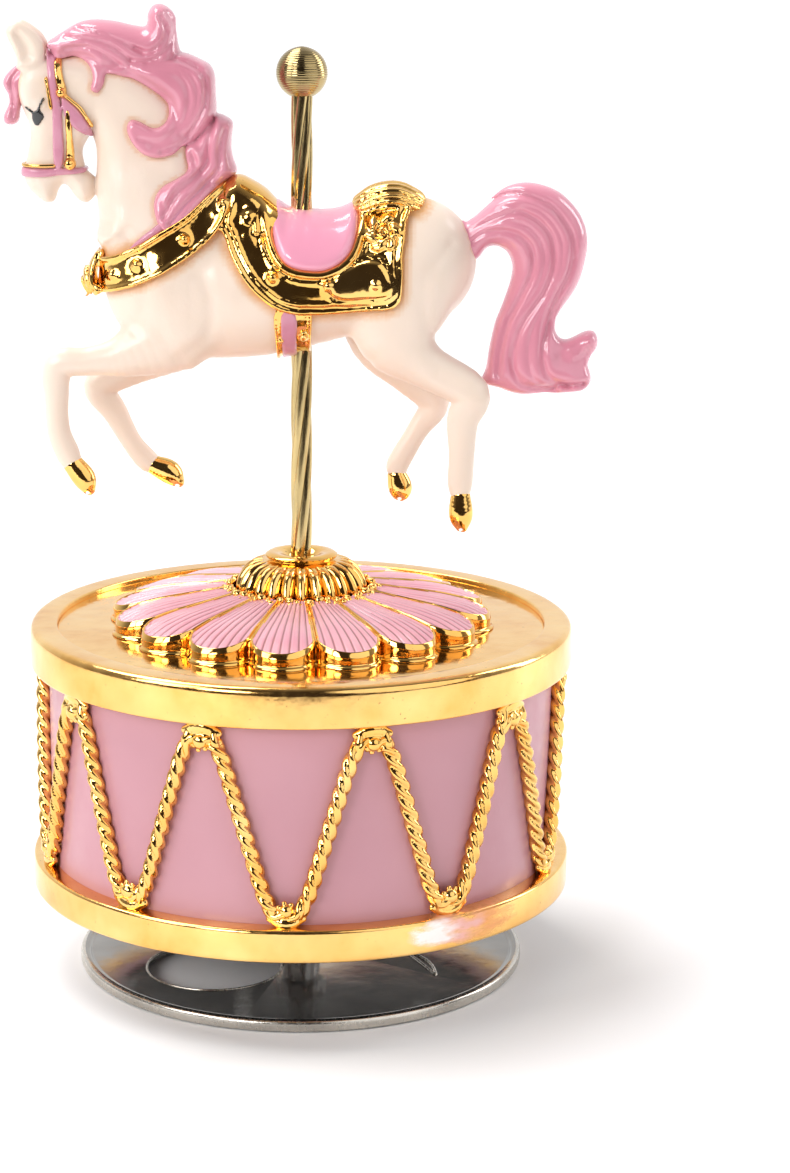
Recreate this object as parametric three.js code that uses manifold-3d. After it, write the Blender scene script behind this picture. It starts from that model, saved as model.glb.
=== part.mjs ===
// Carousel music box: a prancing horse on a twisted brass pole, on a laced drum that turns above a
// round steel plate. Inside the drum is a wind-up movement: mainspring, pinned cylinder, comb, governor.
//
// Millimetres, +Z up. The drum axis is the Z axis and the table is z = 0. The horse faces -X.

import * as THREE from 'three';
import { ConvexGeometry } from 'three/addons/geometries/ConvexGeometry.js';
import { mergeVertices } from 'three/addons/utils/BufferGeometryUtils.js';
import Module from 'manifold-3d';

const wasm = await Module();
wasm.setup();

// ---------------------------------------------------------------- driving dimensions

const GAP = 0.3; // clearance between a piece and the one it rests on or is cut by

const DRUM_RADIUS = 50; // over the two gold hoops
const DRUM_BOTTOM = 15.9;
const DRUM_TOP = 65.3;
const WALL_THICKNESS = 3;
const HOOP_PROUD = 3.5; // how far the hoops stand out of the wall
const LOWER_HOOP_HEIGHT = 6;
const UPPER_HOOP_HEIGHT = 7.4;
const LACING_PERIODS = 10;

const PLATE_RADIUS = 41.5;
const PLATE_TOP = 1.5;
const PLATE_THICKNESS = 0.8;

const PETALS = 16;
const ROSETTE_RADIUS = 35;
const HUB_TOP = 78;

const POLE_RADIUS = 1.95;
const POLE_TOP = 162;
const POLE_LEAD = 66; // length of pole for one whole twist
const POLE_FLUTES = 5;
const BALL_RADIUS = 4.6;
const BALL_CENTRE = 165;

const WALL_RADIUS = DRUM_RADIUS - HOOP_PROUD;
const WALL_INNER_RADIUS = WALL_RADIUS - WALL_THICKNESS;
const UPPER_HOOP_BOTTOM = DRUM_TOP - UPPER_HOOP_HEIGHT;
const LOWER_HOOP_TOP = DRUM_BOTTOM + LOWER_HOOP_HEIGHT;

// the movement: tooth counts set both the gears' sizes and how fast each one turns
const SHAFT_RADIUS = 2.25;
const CROWN_TEETH = 24;
const PINION_TEETH = 8;
const CYLINDER_WHEEL_TEETH = 32;
const SECOND_PINION_TEETH = 10;
const SECOND_WHEEL_TEETH = 20;
const COMB_TEETH = 18;

// ---------------------------------------------------------------- materials

function material(colour, roughness, metalness) {
  return new THREE.MeshStandardMaterial({ color: colour, roughness, metalness });
}

const GOLD = material(0xd9a93a, 0.18, 1);
const BRASS = material(0xb09048, 0.35, 1);
const STEEL = material(0x9c9a96, 0.3, 1);
const ZINC = material(0xa9a9a6, 0.45, 1);
const CREAM_PAINT = material(0xf0e2d0, 0.45, 0);
const PINK_ENAMEL = material(0xe096af, 0.25, 0);
const DRUM_PINK = material(0xd29ba8, 0.4, 0);
const SEAT_PINK = material(0xf5aac3, 0.3, 0);
const BLACK_PLASTIC = material(0x26262a, 0.5, 0);

// ---------------------------------------------------------------- solids

// A closed three.js geometry as a solid that can be joined to and cut by others.
function solid(geometry) {
  geometry.deleteAttribute('normal');
  geometry.deleteAttribute('uv');
  const merged = mergeVertices(geometry, 1e-4);
  const index = merged.index.array;
  const triangles = [];
  for (let i = 0; i < index.length; i += 3) {
    const [a, b, c] = [index[i], index[i + 1], index[i + 2]];
    if (a !== b && b !== c && c !== a) triangles.push(a, b, c);
  }
  const mesh = new wasm.Mesh({
    numProp: 3,
    vertProperties: new Float32Array(merged.attributes.position.array),
    triVerts: new Uint32Array(triangles),
  });
  return new wasm.Manifold(mesh);
}

// A joined or cut solid turned back into a three.js geometry.
function surface(body) {
  const mesh = body.getMesh();
  const geometry = new THREE.BufferGeometry();
  geometry.setAttribute('position', new THREE.BufferAttribute(new Float32Array(mesh.vertProperties), 3));
  geometry.setIndex(new THREE.BufferAttribute(new Uint32Array(mesh.triVerts), 1));
  geometry.computeVertexNormals();
  return geometry;
}

function join(solids) {
  return solids.reduce((whole, piece) => whole.add(piece));
}

function cut(body, tools) {
  return tools.reduce((whole, tool) => whole.subtract(tool), body);
}

// A part turned about the Z axis from [radius, z] points given anticlockwise round the section.
function turned(profile, sides = 40) {
  const points = profile.map(([radius, z]) => new THREE.Vector2(radius, z));
  return new THREE.LatheGeometry(points, sides).rotateX(Math.PI / 2);
}

// A ring turned about Z: the section is closed back to its first point.
function ring(profile, sides = 40) {
  return turned([...profile, profile[0]], sides);
}

function rod(radius, bottom, top, sides = 16) {
  const geometry = new THREE.CylinderGeometry(radius, radius, top - bottom, sides);
  return geometry.rotateX(Math.PI / 2).translate(0, 0, (bottom + top) / 2);
}

// A rod that lies along X at the height and side given.
function rodAlongX(radius, start, end, y, z, sides = 10) {
  return rod(radius, start, end, sides).rotateY(Math.PI / 2).translate(0, y, z);
}

function block([x0, x1], [y0, y1], [z0, z1]) {
  const geometry = new THREE.BoxGeometry(x1 - x0, y1 - y0, z1 - z0);
  return geometry.translate((x0 + x1) / 2, (y0 + y1) / 2, (z0 + z1) / 2);
}

function outline(points) {
  return new THREE.Shape(points.map(([x, y]) => new THREE.Vector2(x, y)));
}

// A flat outline in X and Y raised from one height to another.
function slab(shape, bottom, top, curveSegments = 12) {
  const options = { depth: top - bottom, bevelEnabled: false, curveSegments };
  return new THREE.ExtrudeGeometry(shape, options).translate(0, 0, bottom);
}

// A side view in X and Z carried right across the object in Y.
function sidePrism(points, shiftX = 0, shiftZ = 0) {
  const halfDepth = 20;
  const geometry = new THREE.ExtrudeGeometry(outline(points), { depth: 2 * halfDepth, bevelEnabled: false });
  return solid(geometry.translate(0, 0, -halfDepth).rotateX(Math.PI / 2).translate(shiftX, 0, shiftZ));
}

function polar(radius, degrees) {
  const angle = THREE.MathUtils.degToRad(degrees);
  return [radius * Math.cos(angle), radius * Math.sin(angle)];
}

// A bar whose cross-section radius is a function of angle, twisted evenly as it rises.
function twistedBar(sectionRadius, sides, bottom, top, lead, levels) {
  const geometry = new THREE.CylinderGeometry(1, 1, top - bottom, sides, levels).rotateX(Math.PI / 2);
  const position = geometry.attributes.position;
  for (let i = 0; i < position.count; i++) {
    const centred = Math.hypot(position.getX(i), position.getY(i)) < 0.5;
    const angle = Math.atan2(position.getY(i), position.getX(i));
    const radius = centred ? 0 : sectionRadius(angle);
    const height = position.getZ(i);
    const turn = angle + (2 * Math.PI * height) / lead;
    position.setXY(i, radius * Math.cos(turn), radius * Math.sin(turn));
  }
  return geometry.translate(0, 0, (bottom + top) / 2);
}

// A screw standing head-down: a domed head below z = seat and a shank above it.
function screw(seat, shankTop, headRadius = 2.4, shankRadius = 1.2) {
  const headHeight = 0.3 * headRadius;
  return turned([
    [0, seat - headHeight],
    [0.8 * headRadius, seat - headHeight],
    [headRadius, seat - 0.4 * headHeight],
    [headRadius, seat],
    [shankRadius, seat],
    [shankRadius, shankTop],
    [0, shankTop],
  ], 8);
}

const part = new THREE.Group();
part.name = 'carousel_music_box';

function add(name, shape, finish) {
  const mesh = new THREE.Mesh(shape.isBufferGeometry ? shape : surface(shape), finish);
  mesh.name = name;
  part.add(mesh);
}

// ---------------------------------------------------------------- turntable: plate, bush, shaft

const SOUND_HOLE_RADIUS = 12.5;
const SOUND_HOLE_OFFSET = 20;
const SOUND_HOLE_BEARING = -142; // degrees from +X, anticlockwise from above
const RIM_TOP = 2.1;
const BUSH_RADIUS = 4.4;
const BUSH_TOP = 5.5;
const LOCK_NUT_ACROSS_FLATS = 8;
const LOCK_NUT_HEIGHT = 2.4;

// the crescent mark: its two ends, and the control points of its inner and outer edges
const MARK_START = [19.8, -3.6];
const MARK_TIP = [25.3, -16];
const MARK_INNER_CONTROL = [21.6, -7.6];
const MARK_OUTER_CONTROL = [25.2, -8];

// Pressed steel dish: a flat disc with a rounded edge turned down to the table.
function turntablePlate() {
  const rimInner = PLATE_RADIUS - 1.6;
  const disc = solid(ring([
    [SHAFT_RADIUS + GAP, PLATE_TOP - PLATE_THICKNESS],
    [rimInner, PLATE_TOP - PLATE_THICKNESS],
    [rimInner + 0.4, 0],
    [PLATE_RADIUS - 0.2, 0],
    [PLATE_RADIUS, RIM_TOP - 0.5],
    [PLATE_RADIUS - 0.5, RIM_TOP],
    [rimInner + 0.2, RIM_TOP],
    [rimInner - 0.4, PLATE_TOP],
    [SHAFT_RADIUS + GAP, PLATE_TOP],
  ], 40));
  const [holeX, holeY] = polar(SOUND_HOLE_OFFSET, SOUND_HOLE_BEARING);
  const soundHole = solid(rod(SOUND_HOLE_RADIUS, -1, 4, 28).translate(holeX, holeY, 0));
  return cut(disc, [soundHole, windingMark()]);
}

// The curved mark punched beside the shaft: a crescent that narrows to a point at its outer end.
function windingMark() {
  const crescent = new THREE.Shape();
  crescent.moveTo(...MARK_START);
  crescent.quadraticCurveTo(...MARK_INNER_CONTROL, ...MARK_TIP);
  crescent.quadraticCurveTo(...MARK_OUTER_CONTROL, ...MARK_START);
  return solid(slab(crescent, -1, 4, 5));
}

// The riveted bush that grips the shaft, with its flange under the lock nut.
function shaftBush() {
  return ring([
    [SHAFT_RADIUS + GAP, PLATE_TOP + GAP],
    [BUSH_RADIUS, PLATE_TOP + GAP],
    [BUSH_RADIUS, PLATE_TOP + 1.6],
    [BUSH_RADIUS - 1, PLATE_TOP + 2],
    [BUSH_RADIUS - 1, BUSH_TOP],
    [SHAFT_RADIUS + GAP, BUSH_TOP],
  ], 24);
}

function hexNut(boreRadius, acrossFlats, bottom, top) {
  const corners = Array.from({ length: 6 }, (_, i) => polar(acrossFlats / Math.sqrt(3), 60 * i));
  const shape = outline(corners);
  shape.holes.push(new THREE.Path().absarc(0, 0, boreRadius, 0, 2 * Math.PI));
  return slab(shape, bottom, top, 8);
}

// ---------------------------------------------------------------- drum: cover, wall, hoops, lacing, top

const COVER_BOTTOM = DRUM_BOTTOM + 0.8;
const COVER_TOP = COVER_BOTTOM + 1.8;
const COVER_SCREW_CIRCLE = 39.5;
const COVER_SCREW_BEARINGS = [150, 210, 300];
const BOSS_RADIUS = 3;
const BOSS_HEIGHT = 12;
const BOSS_THREAD_DEPTH = 9;
const SCREW_HOLE_RADIUS = 1.5;
const TOP_PLATE_TOP = DRUM_TOP - 1;
const TOP_PLATE_BOTTOM = TOP_PLATE_TOP - 2;
const TOP_PLATE_RADIUS = 44.9;

const BEDPLATE_BOTTOM = COVER_TOP + GAP;
const MOVEMENT_SCREWS = [[-11, -13], [-11, 13], [22, 15.5]];

// Drills for screws at the [x, y] places given.
function drills(places, radius, bottom, top) {
  return places.map(([x, y]) => solid(rod(radius, bottom, top, 8).translate(x, y, 0)));
}

function baseCover() {
  const disc = solid(ring([
    [SHAFT_RADIUS + 1.5, COVER_BOTTOM],
    [WALL_INNER_RADIUS - GAP, COVER_BOTTOM],
    [WALL_INNER_RADIUS - GAP, COVER_TOP],
    [SHAFT_RADIUS + 1.5, COVER_TOP],
  ]));
  const coverScrews = COVER_SCREW_BEARINGS.map((bearing) => polar(COVER_SCREW_CIRCLE, bearing));
  return cut(disc, drills([...coverScrews, ...MOVEMENT_SCREWS], SCREW_HOLE_RADIUS, 0, 30));
}

// The cast shell, with three screw bosses inside its foot.
function drumWall() {
  const bottom = DRUM_BOTTOM + GAP;
  const shell = solid(ring([
    [WALL_INNER_RADIUS, bottom],
    [WALL_RADIUS, bottom],
    [WALL_RADIUS, UPPER_HOOP_BOTTOM - GAP],
    [WALL_INNER_RADIUS, UPPER_HOOP_BOTTOM - GAP],
  ], 48));
  const bosses = [];
  for (const bearing of COVER_SCREW_BEARINGS) {
    // a post under each screw, and a second one that runs it into the wall
    for (const offset of [COVER_SCREW_CIRCLE, WALL_INNER_RADIUS + 1]) {
      const [x, y] = polar(offset, bearing);
      bosses.push(solid(rod(BOSS_RADIUS, COVER_TOP + GAP, COVER_TOP + BOSS_HEIGHT, 12).translate(x, y, 0)));
    }
  }
  const outside = solid(rod(WALL_RADIUS - 1, 0, DRUM_TOP, 60));
  const screws = COVER_SCREW_BEARINGS.map((bearing) => polar(COVER_SCREW_CIRCLE, bearing));
  const threads = drills(screws, SCREW_HOLE_RADIUS, 0, COVER_TOP + BOSS_THREAD_DEPTH);
  return cut(shell.add(join(bosses).intersect(outside)), threads);
}

function lowerHoop() {
  const inner = WALL_RADIUS + GAP;
  const bevel = 0.6;
  return ring([
    [inner, DRUM_BOTTOM],
    [DRUM_RADIUS - bevel, DRUM_BOTTOM],
    [DRUM_RADIUS, DRUM_BOTTOM + bevel],
    [DRUM_RADIUS, LOWER_HOOP_TOP - bevel],
    [DRUM_RADIUS - bevel, LOWER_HOOP_TOP],
    [inner, LOWER_HOOP_TOP],
  ], 48);
}

// The upper hoop has a ledge inside that carries the top plate, and a wide bevel round its top edge.
function upperHoop() {
  const recess = TOP_PLATE_RADIUS + GAP;
  const bevel = 1.4;
  return ring([
    [WALL_INNER_RADIUS, UPPER_HOOP_BOTTOM],
    [DRUM_RADIUS - 0.5, UPPER_HOOP_BOTTOM],
    [DRUM_RADIUS, UPPER_HOOP_BOTTOM + 0.5],
    [DRUM_RADIUS, DRUM_TOP - bevel],
    [DRUM_RADIUS - bevel, DRUM_TOP],
    [recess, DRUM_TOP],
    [recess, TOP_PLATE_BOTTOM - GAP],
    [WALL_INNER_RADIUS, TOP_PLATE_BOTTOM - GAP],
  ], 48);
}

const ROPE_RADIUS = 1.15;
const ROPE_CIRCLE = WALL_RADIUS + GAP + ROPE_RADIUS;
const ROPE_LOW = LOWER_HOOP_TOP + 3.6;
const ROPE_HIGH = UPPER_HOOP_BOTTOM - 3.6;
const KNOT_RADIUS = 2.4;
const KNOT_DEPTH = 1.5; // half of how far a knot stands out
const LACING_BEARING = -109.5; // of one upper knot

// One leg of the zigzag: it climbs or falls round the wall at an even rate.
class LacingLeg extends THREE.Curve {
  constructor(index) {
    super();
    this.index = index;
  }

  getPoint(t, target = new THREE.Vector3()) {
    const halfPeriod = 180 / LACING_PERIODS;
    const [x, y] = polar(ROPE_CIRCLE, LACING_BEARING + (this.index + t) * halfPeriod);
    const fall = this.index % 2 === 0 ? t : 1 - t;
    return target.set(x, y, THREE.MathUtils.lerp(ROPE_HIGH, ROPE_LOW, fall));
  }
}

// The gold rope laced in a zigzag round the drum, with a knot at each turn.
function ropeLacing() {
  const section = outline(Array.from({ length: 5 }, (_, i) => polar(ROPE_RADIUS, 72 * i)));
  const pieces = [];
  for (let index = 0; index < 2 * LACING_PERIODS; index++) {
    const leg = new LacingLeg(index);
    pieces.push(solid(new THREE.ExtrudeGeometry(section, { steps: 2, extrudePath: leg })));
    const bearing = THREE.MathUtils.degToRad(LACING_BEARING + (index * 180) / LACING_PERIODS);
    const knot = new THREE.IcosahedronGeometry(1, 0).scale(KNOT_DEPTH, KNOT_RADIUS, KNOT_RADIUS);
    const height = index % 2 === 0 ? ROPE_HIGH : ROPE_LOW;
    pieces.push(solid(knot.translate(DRUM_RADIUS - KNOT_DEPTH, 0, height).rotateZ(bearing)));
  }
  return join(pieces);
}

function topPlate() {
  return ring([
    [POLE_RADIUS + GAP, TOP_PLATE_BOTTOM],
    [TOP_PLATE_RADIUS, TOP_PLATE_BOTTOM],
    [TOP_PLATE_RADIUS, TOP_PLATE_TOP],
    [POLE_RADIUS + GAP, TOP_PLATE_TOP],
  ]);
}

// ---------------------------------------------------------------- flower rosette and hub

const ROSETTE_BOTTOM = TOP_PLATE_TOP + GAP;
const PETAL_EDGE_TOP = 67.4;
const PETAL_INNER_TOP = 71.2;
const HUB_SEAT = PETAL_INNER_TOP - 2; // floor of the well that the hub and beads sit in
const PETAL_BEARING = -94.8; // of one petal's middle
const HUB_RADIUS = 12.2;
const BEAD_CIRCLE = 13.6;
const PETAL_END_RADIUS = 6.7;
const PETAL_END_CENTRE = ROSETTE_RADIUS - PETAL_END_RADIUS;
const VALLEY_DEPTH = 9; // how far a valley drops for each whole radius that the edge draws in

// Sixteen round-ended petals that slope up to the hub, with a valley between each pair.
function flowerRosette() {
  const geometry = ring([
    [POLE_RADIUS + GAP, ROSETTE_BOTTOM],
    [ROSETTE_RADIUS, ROSETTE_BOTTOM],
    [ROSETTE_RADIUS, PETAL_EDGE_TOP],
    [ROSETTE_RADIUS - 1.2, PETAL_EDGE_TOP + 0.9],
    [BEAD_CIRCLE + 1.2, PETAL_INNER_TOP],
    [BEAD_CIRCLE + 1.2, HUB_SEAT],
    [POLE_RADIUS + GAP, HUB_SEAT],
  ], 5 * PETALS);
  const position = geometry.attributes.position;
  for (let i = 0; i < position.count; i++) {
    const [x, y, z] = [position.getX(i), position.getY(i), position.getZ(i)];
    const radius = Math.hypot(x, y);
    const bearing = THREE.MathUtils.radToDeg(Math.atan2(y, x));
    const pitch = 360 / PETALS;
    const fromEdge = THREE.MathUtils.euclideanModulo(bearing - PETAL_BEARING + pitch / 2, pitch);
    const across = THREE.MathUtils.degToRad(fromEdge - pitch / 2);
    const sideways = PETAL_END_CENTRE * Math.sin(across);
    const edge = PETAL_END_CENTRE * Math.cos(across) + Math.sqrt(PETAL_END_RADIUS ** 2 - sideways ** 2);
    const outward = Math.max(0, (radius - BEAD_CIRCLE) / (ROSETTE_RADIUS - BEAD_CIRCLE));
    const newRadius = radius * THREE.MathUtils.lerp(1, edge / ROSETTE_RADIUS, outward);
    const valley = z > PETAL_EDGE_TOP - 1 ? VALLEY_DEPTH * outward * (1 - edge / ROSETTE_RADIUS) : 0;
    position.setXYZ(i, (x * newRadius) / radius, (y * newRadius) / radius, z - valley);
  }
  return geometry;
}

// The ring of beads round the foot of the hub.
function beadRing() {
  const bottom = HUB_SEAT + GAP;
  return ring([
    [HUB_RADIUS + GAP, bottom],
    [BEAD_CIRCLE + 0.9, bottom],
    [BEAD_CIRCLE + 0.9, bottom + 1.6],
    [BEAD_CIRCLE + 0.2, bottom + 2.6],
    [HUB_RADIUS + GAP, bottom + 2.2],
  ], 36);
}

// The pleated dome and the round collar that the pole stands in.
function rosetteHub() {
  const bottom = HUB_SEAT + GAP;
  const inner = POLE_RADIUS + GAP;
  return ring([
    [inner, bottom],
    [HUB_RADIUS, bottom],
    [HUB_RADIUS, bottom + 1.5],
    [HUB_RADIUS - 1.2, bottom + 3.2],
    [HUB_RADIUS - 4, bottom + 4.8],
    [5.4, bottom + 5.6],
    [6.3, bottom + 6.6],
    [6.3, HUB_TOP - 0.9],
    [5.5, HUB_TOP],
    [inner, HUB_TOP],
  ], 36);
}

// ---------------------------------------------------------------- pole

const POLE_NUT_HEIGHT = 3;
const POLE_NUT_ACROSS_FLATS = 7;
const POLE_NUT_TOP = TOP_PLATE_BOTTOM - GAP;

function flutedSection(angle) {
  return POLE_RADIUS * (0.93 + 0.07 * Math.cos(POLE_FLUTES * angle));
}

function pole() {
  const bottom = POLE_NUT_TOP - POLE_NUT_HEIGHT - 1.5;
  return twistedBar(flutedSection, 3 * POLE_FLUTES, bottom, POLE_TOP, POLE_LEAD, 20);
}

// The ball is bored from below to sit over the end of the pole.
function ballFinial() {
  const steps = 10;
  const bore = POLE_RADIUS + GAP;
  const lowest = -Math.acos(bore / BALL_RADIUS);
  const profile = [[0, POLE_TOP + GAP], [bore, POLE_TOP + GAP]];
  for (let i = 0; i < steps; i++) {
    const angle = THREE.MathUtils.lerp(lowest, Math.PI / 2, i / steps);
    profile.push([BALL_RADIUS * Math.cos(angle), BALL_CENTRE + BALL_RADIUS * Math.sin(angle)]);
  }
  profile.push([0, BALL_CENTRE + BALL_RADIUS]);
  return turned(profile, 20);
}

// ---------------------------------------------------------------- horse

// The horse is built from limbs. A limb is a chain of egg-shaped stations [x, y, z, radius, half-width],
// with a smooth hull between each pair. Near limbs have negative y and far limbs positive y.

const TORSO = [
  [-22.3, 0, 126.2, 12.4, 9.6], // chest
  [-8, 0, 127.6, 13, 10.6], // ribs
  [8, 0, 129.8, 11.6, 10], // flank
  [19.8, 0, 131.6, 11.6, 9.8], // rump
];
const NECK = [
  [-24, 0, 132, 11.5, 8.4],
  [-26, 0, 139, 10, 6.8],
  [-29, 0, 147.5, 8, 5.4],
  [-33.5, 0, 156, 6.2, 4.8],
  [-39, 0, 162.5, 5.2, 4.4],
];
const HEAD = [
  [-44.6, 0, 164, 4.9, 4.2], // poll
  [-44.6, 0, 158.3, 5.5, 4.6], // cheek
  [-44.2, 0, 151.5, 4.4, 3.6],
  [-45.8, 0, 146, 3.5, 3.1], // muzzle
];
const JAW = [
  [-43, 0, 156.5, 4.8, 3.8],
  [-41.5, 0, 149.5, 2.9, 2.7],
  [-40.2, 0, 144.6, 2.7, 2.4], // chin
];
const EAR = [
  [-47.2, -2.4, 166.6, 2, 1.5],
  [-48.4, -2.6, 170.4, 1.7, 1.1],
  [-49.2, -2.6, 173, 0.7, 0.6],
];
const NEAR_FORELEG = [
  [-23, -4.4, 119, 7.4, 5],
  [-31.5, -5.6, 115, 3.9, 3.1],
  [-38, -6, 113.9, 2.6, 2.3],
  [-43.4, -6, 113.1, 2.7, 2.3], // knee
  [-43.9, -6, 106.5, 2.1, 1.8],
  [-43.5, -6, 101.2, 2.2, 1.8],
  [-42.1, -6, 97.6, 2, 1.8], // fetlock
];
const FAR_FORELEG = [
  [-23, 4.4, 118, 7.4, 5],
  [-31.5, 5.6, 111.4, 3.8, 3.1],
  [-37.2, 6, 107.5, 3, 2.4], // knee
  [-34.4, 6, 102.4, 2.3, 1.8],
  [-31.6, 6, 97.2, 1.9, 1.7],
  [-29, 6, 93.9, 2, 1.7], // fetlock
];
const NEAR_HIND_LEG = [
  [17.6, -4.2, 127.5, 10, 6],
  [16.8, -5.2, 120, 7.6, 5],
  [21.9, -5.6, 113.9, 4.3, 3.4],
  [29.4, -6, 108.7, 3.5, 2.6], // hock
  [29.2, -6, 103.6, 2.9, 2.1],
  [29.1, -6, 97.4, 2.4, 1.8],
  [28.9, -6, 92.4, 2.1, 1.8], // fetlock
];
const FAR_HIND_LEG = [
  [16, 4.2, 127, 10, 6],
  [15.5, 5.2, 118, 7.4, 5],
  [19.5, 5.6, 110.5, 4, 3.2],
  [24.1, 6, 104.9, 2.9, 2.3], // hock
  [21.2, 6, 99.6, 2, 1.8],
  [17.8, 6, 93.2, 1.9, 1.7], // fetlock
];

const NEAR_FORE_HOOF = [
  [-40.3, -6, 95.2, 2, 1.8],
  [-38.9, -6, 91.6, 1.9, 1.9],
  [-38.3, -6, 90.4, 1.1, 1.5],
];
const FAR_FORE_HOOF = [
  [-27.4, 6, 92.7, 1.7, 1.7],
  [-24.6, 6, 91.4, 2.2, 1.9],
  [-23, 6, 89.6, 1.2, 1.5],
];
const NEAR_HIND_HOOF = [
  [29.1, -6, 89.3, 1.7, 1.7],
  [29.1, -6, 86.2, 2.2, 1.9],
  [29.4, -6, 84.3, 1.2, 1.5],
];
const FAR_HIND_HOOF = [
  [17.5, 6, 90.7, 1.8, 1.7],
  [18.2, 6, 88.6, 2.1, 1.9],
  [18.2, 6, 87.5, 1.2, 1.5],
];

const MANE = [
  [-42.6, 0, 168.6, 2.6, 3],
  [-38.5, 0, 170, 3.8, 3.8],
  [-33, 0, 169.4, 4.5, 4.8],
  [-27.5, 0, 168, 5, 5.6],
  [-22.5, 0, 163.6, 5.9, 6],
  [-20.4, 0, 157, 6, 6.2],
  [-18.6, 0, 150, 6.4, 6.6],
  [-18.4, 0, 143.6, 5.6, 7],
];
const MANE_CREST_CURL = [
  [-26.5, 0, 169.5, 4, 3.6],
  [-25, 0, 174.2, 2.8, 2.4],
];
const MANE_REAR_CURL = [
  [-19.5, 0, 163, 4.4, 4],
  [-15.6, 0, 155, 3.3, 3],
  [-14.6, 0, 149, 2.9, 3],
];
const MANE_FRONT_LOCK = [
  [-23, -3.6, 154, 3.6, 3],
  [-27.6, -4.4, 153.6, 2.9, 2.2],
  [-29.3, -4.6, 155.2, 1.6, 1.4],
];
const FORELOCK = [
  [-46.8, 0, 168.6, 1.9, 2.6],
  [-50, 0, 165.6, 1.9, 2.8],
  [-51.3, 0, 161.8, 1.7, 2.2],
  [-51.6, 0, 158, 1.2, 1.4],
  [-52.1, 0, 156.4, 1.3, 1],
];
const TAIL = [
  [29.4, 0, 136.6, 3, 2.6],
  [33.4, 0, 139, 4.3, 3.4],
  [39.4, 0, 140.2, 5.6, 4],
  [44.4, 0, 136.6, 6.6, 4.4],
  [44.4, 0, 129.5, 6.6, 4.6],
  [42, 0, 121, 5.8, 4.6],
  [40.4, 0, 113.4, 5.9, 4],
];
const TAIL_LOWER_TIP = [
  [41, 0, 111.5, 4, 3.4],
  [47, 0, 110.6, 2.6, 2.4],
  [51, 0, 110.4, 1.4, 1.2],
];
const TAIL_OUTER_TIP = [
  [42, 0, 114.5, 4.6, 3.6],
  [48, 0, 114.6, 3.2, 2.6],
  [51.8, 0, 117.6, 1.6, 1.2],
];
const TAIL_INNER_TIP = [
  [40, 0, 113, 5, 3.6],
  [36.6, 0, 110.8, 2.8, 2],
  [35.6, 0, 110.3, 1.9, 1.6],
];

const EGG = mergeVertices(new THREE.SphereGeometry(1, 10, 4).deleteAttribute('normal').deleteAttribute('uv'));

function egg([x, y, z, radius, halfWidth], grow) {
  const scale = new THREE.Vector3(radius + grow, halfWidth + grow, radius + grow);
  const centre = new THREE.Vector3(x, y, z);
  const points = [];
  for (let i = 0; i < EGG.attributes.position.count; i++) {
    const point = new THREE.Vector3().fromBufferAttribute(EGG.attributes.position, i);
    points.push(point.multiply(scale).add(centre));
  }
  return points;
}

function limb(stations, grow = 0) {
  const links = [];
  for (let i = 1; i < stations.length; i++) {
    links.push(solid(new ConvexGeometry([...egg(stations[i - 1], grow), ...egg(stations[i], grow)])));
  }
  return join(links);
}

function farSide(stations) {
  return stations.map(([x, y, z, ...size]) => [x, -y, z, ...size]);
}

// The whole unpainted horse, grown outwards by the amount given. Tack is made as a shell between two
// growths, so that it follows the horse and stays clear of it.
function horse(grow = 0) {
  const legs = [NEAR_FORELEG, FAR_FORELEG, NEAR_HIND_LEG, FAR_HIND_LEG];
  const poll = [NECK.at(-1), HEAD[0]]; // joins the neck to the head
  const limbs = [TORSO, NECK, poll, HEAD, JAW, EAR, farSide(EAR), ...legs];
  return join(limbs.map((stations) => limb(stations, grow)));
}

function shell(innerGrow, outerGrow, regions) {
  const skin = horse(outerGrow).subtract(horse(innerGrow));
  return skin.intersect(join(regions.map((region) => sidePrism(region))));
}

const POLE_ROOM = solid(rod(POLE_RADIUS + GAP, 60, 160));

const SADDLE_SKIRT = [
  [-14.6, 137.6], [-12, 133.2], [-7.5, 126.8], [-1, 124], [16, 125], [17.8, 127.5], [17.6, 134],
  [18.4, 141], [19.5, 149], [-11, 149], [-12.2, 146],
];
const SEAT_PANEL = [
  [-6, 150], [-5.2, 138], [-3, 132.8], [0, 131.4], [4, 131.2], [8.4, 134.2], [9.8, 138], [10, 150],
];
const COLLAR_BAND = [
  [-45, 124.5], [-33, 127.8], [-25, 131.2], [-20, 134.2], [-14.9, 138.2], [-12.6, 146.2], [-15, 145.2],
  [-20, 140.8], [-25, 137.8], [-30, 134.8], [-36, 132.6], [-45, 133],
];
const GIRTH_BAND = [[-4.4, 100], [1, 100], [1, 123.6], [-4.4, 123.4]];

const CHEEK_STRAP = [[-45.4, 171], [-43.6, 171], [-42.2, 164.6], [-41.8, 147], [-43.4, 147], [-44.2, 164.6]];
const NOSEBAND = [[-52, 146.2], [-37, 146.2], [-37, 148.4], [-52, 148.4]];
const THROAT_STRAP = [[-43.6, 162], [-41.2, 163], [-36.4, 155], [-37.6, 153.6]];

// the raised ends of the saddle, and the shell on the chest, as limbs
const CANTLE = [
  [13, -5, 142.6, 2.2, 2],
  [15.2, 0, 143.6, 2.4, 3],
  [13, 5, 142.6, 2.2, 2],
];
const POMMEL = [
  [-10.4, -3.6, 142, 2.2, 2],
  [-10.6, 0, 143.6, 2.4, 3],
  [-10.4, 3.6, 142, 2.2, 2],
];
const CHEST_SHELL = [
  [-34.6, 0, 131.6, 3, 4.4],
  [-35.8, 0, 126.6, 3.2, 4],
];

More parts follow.
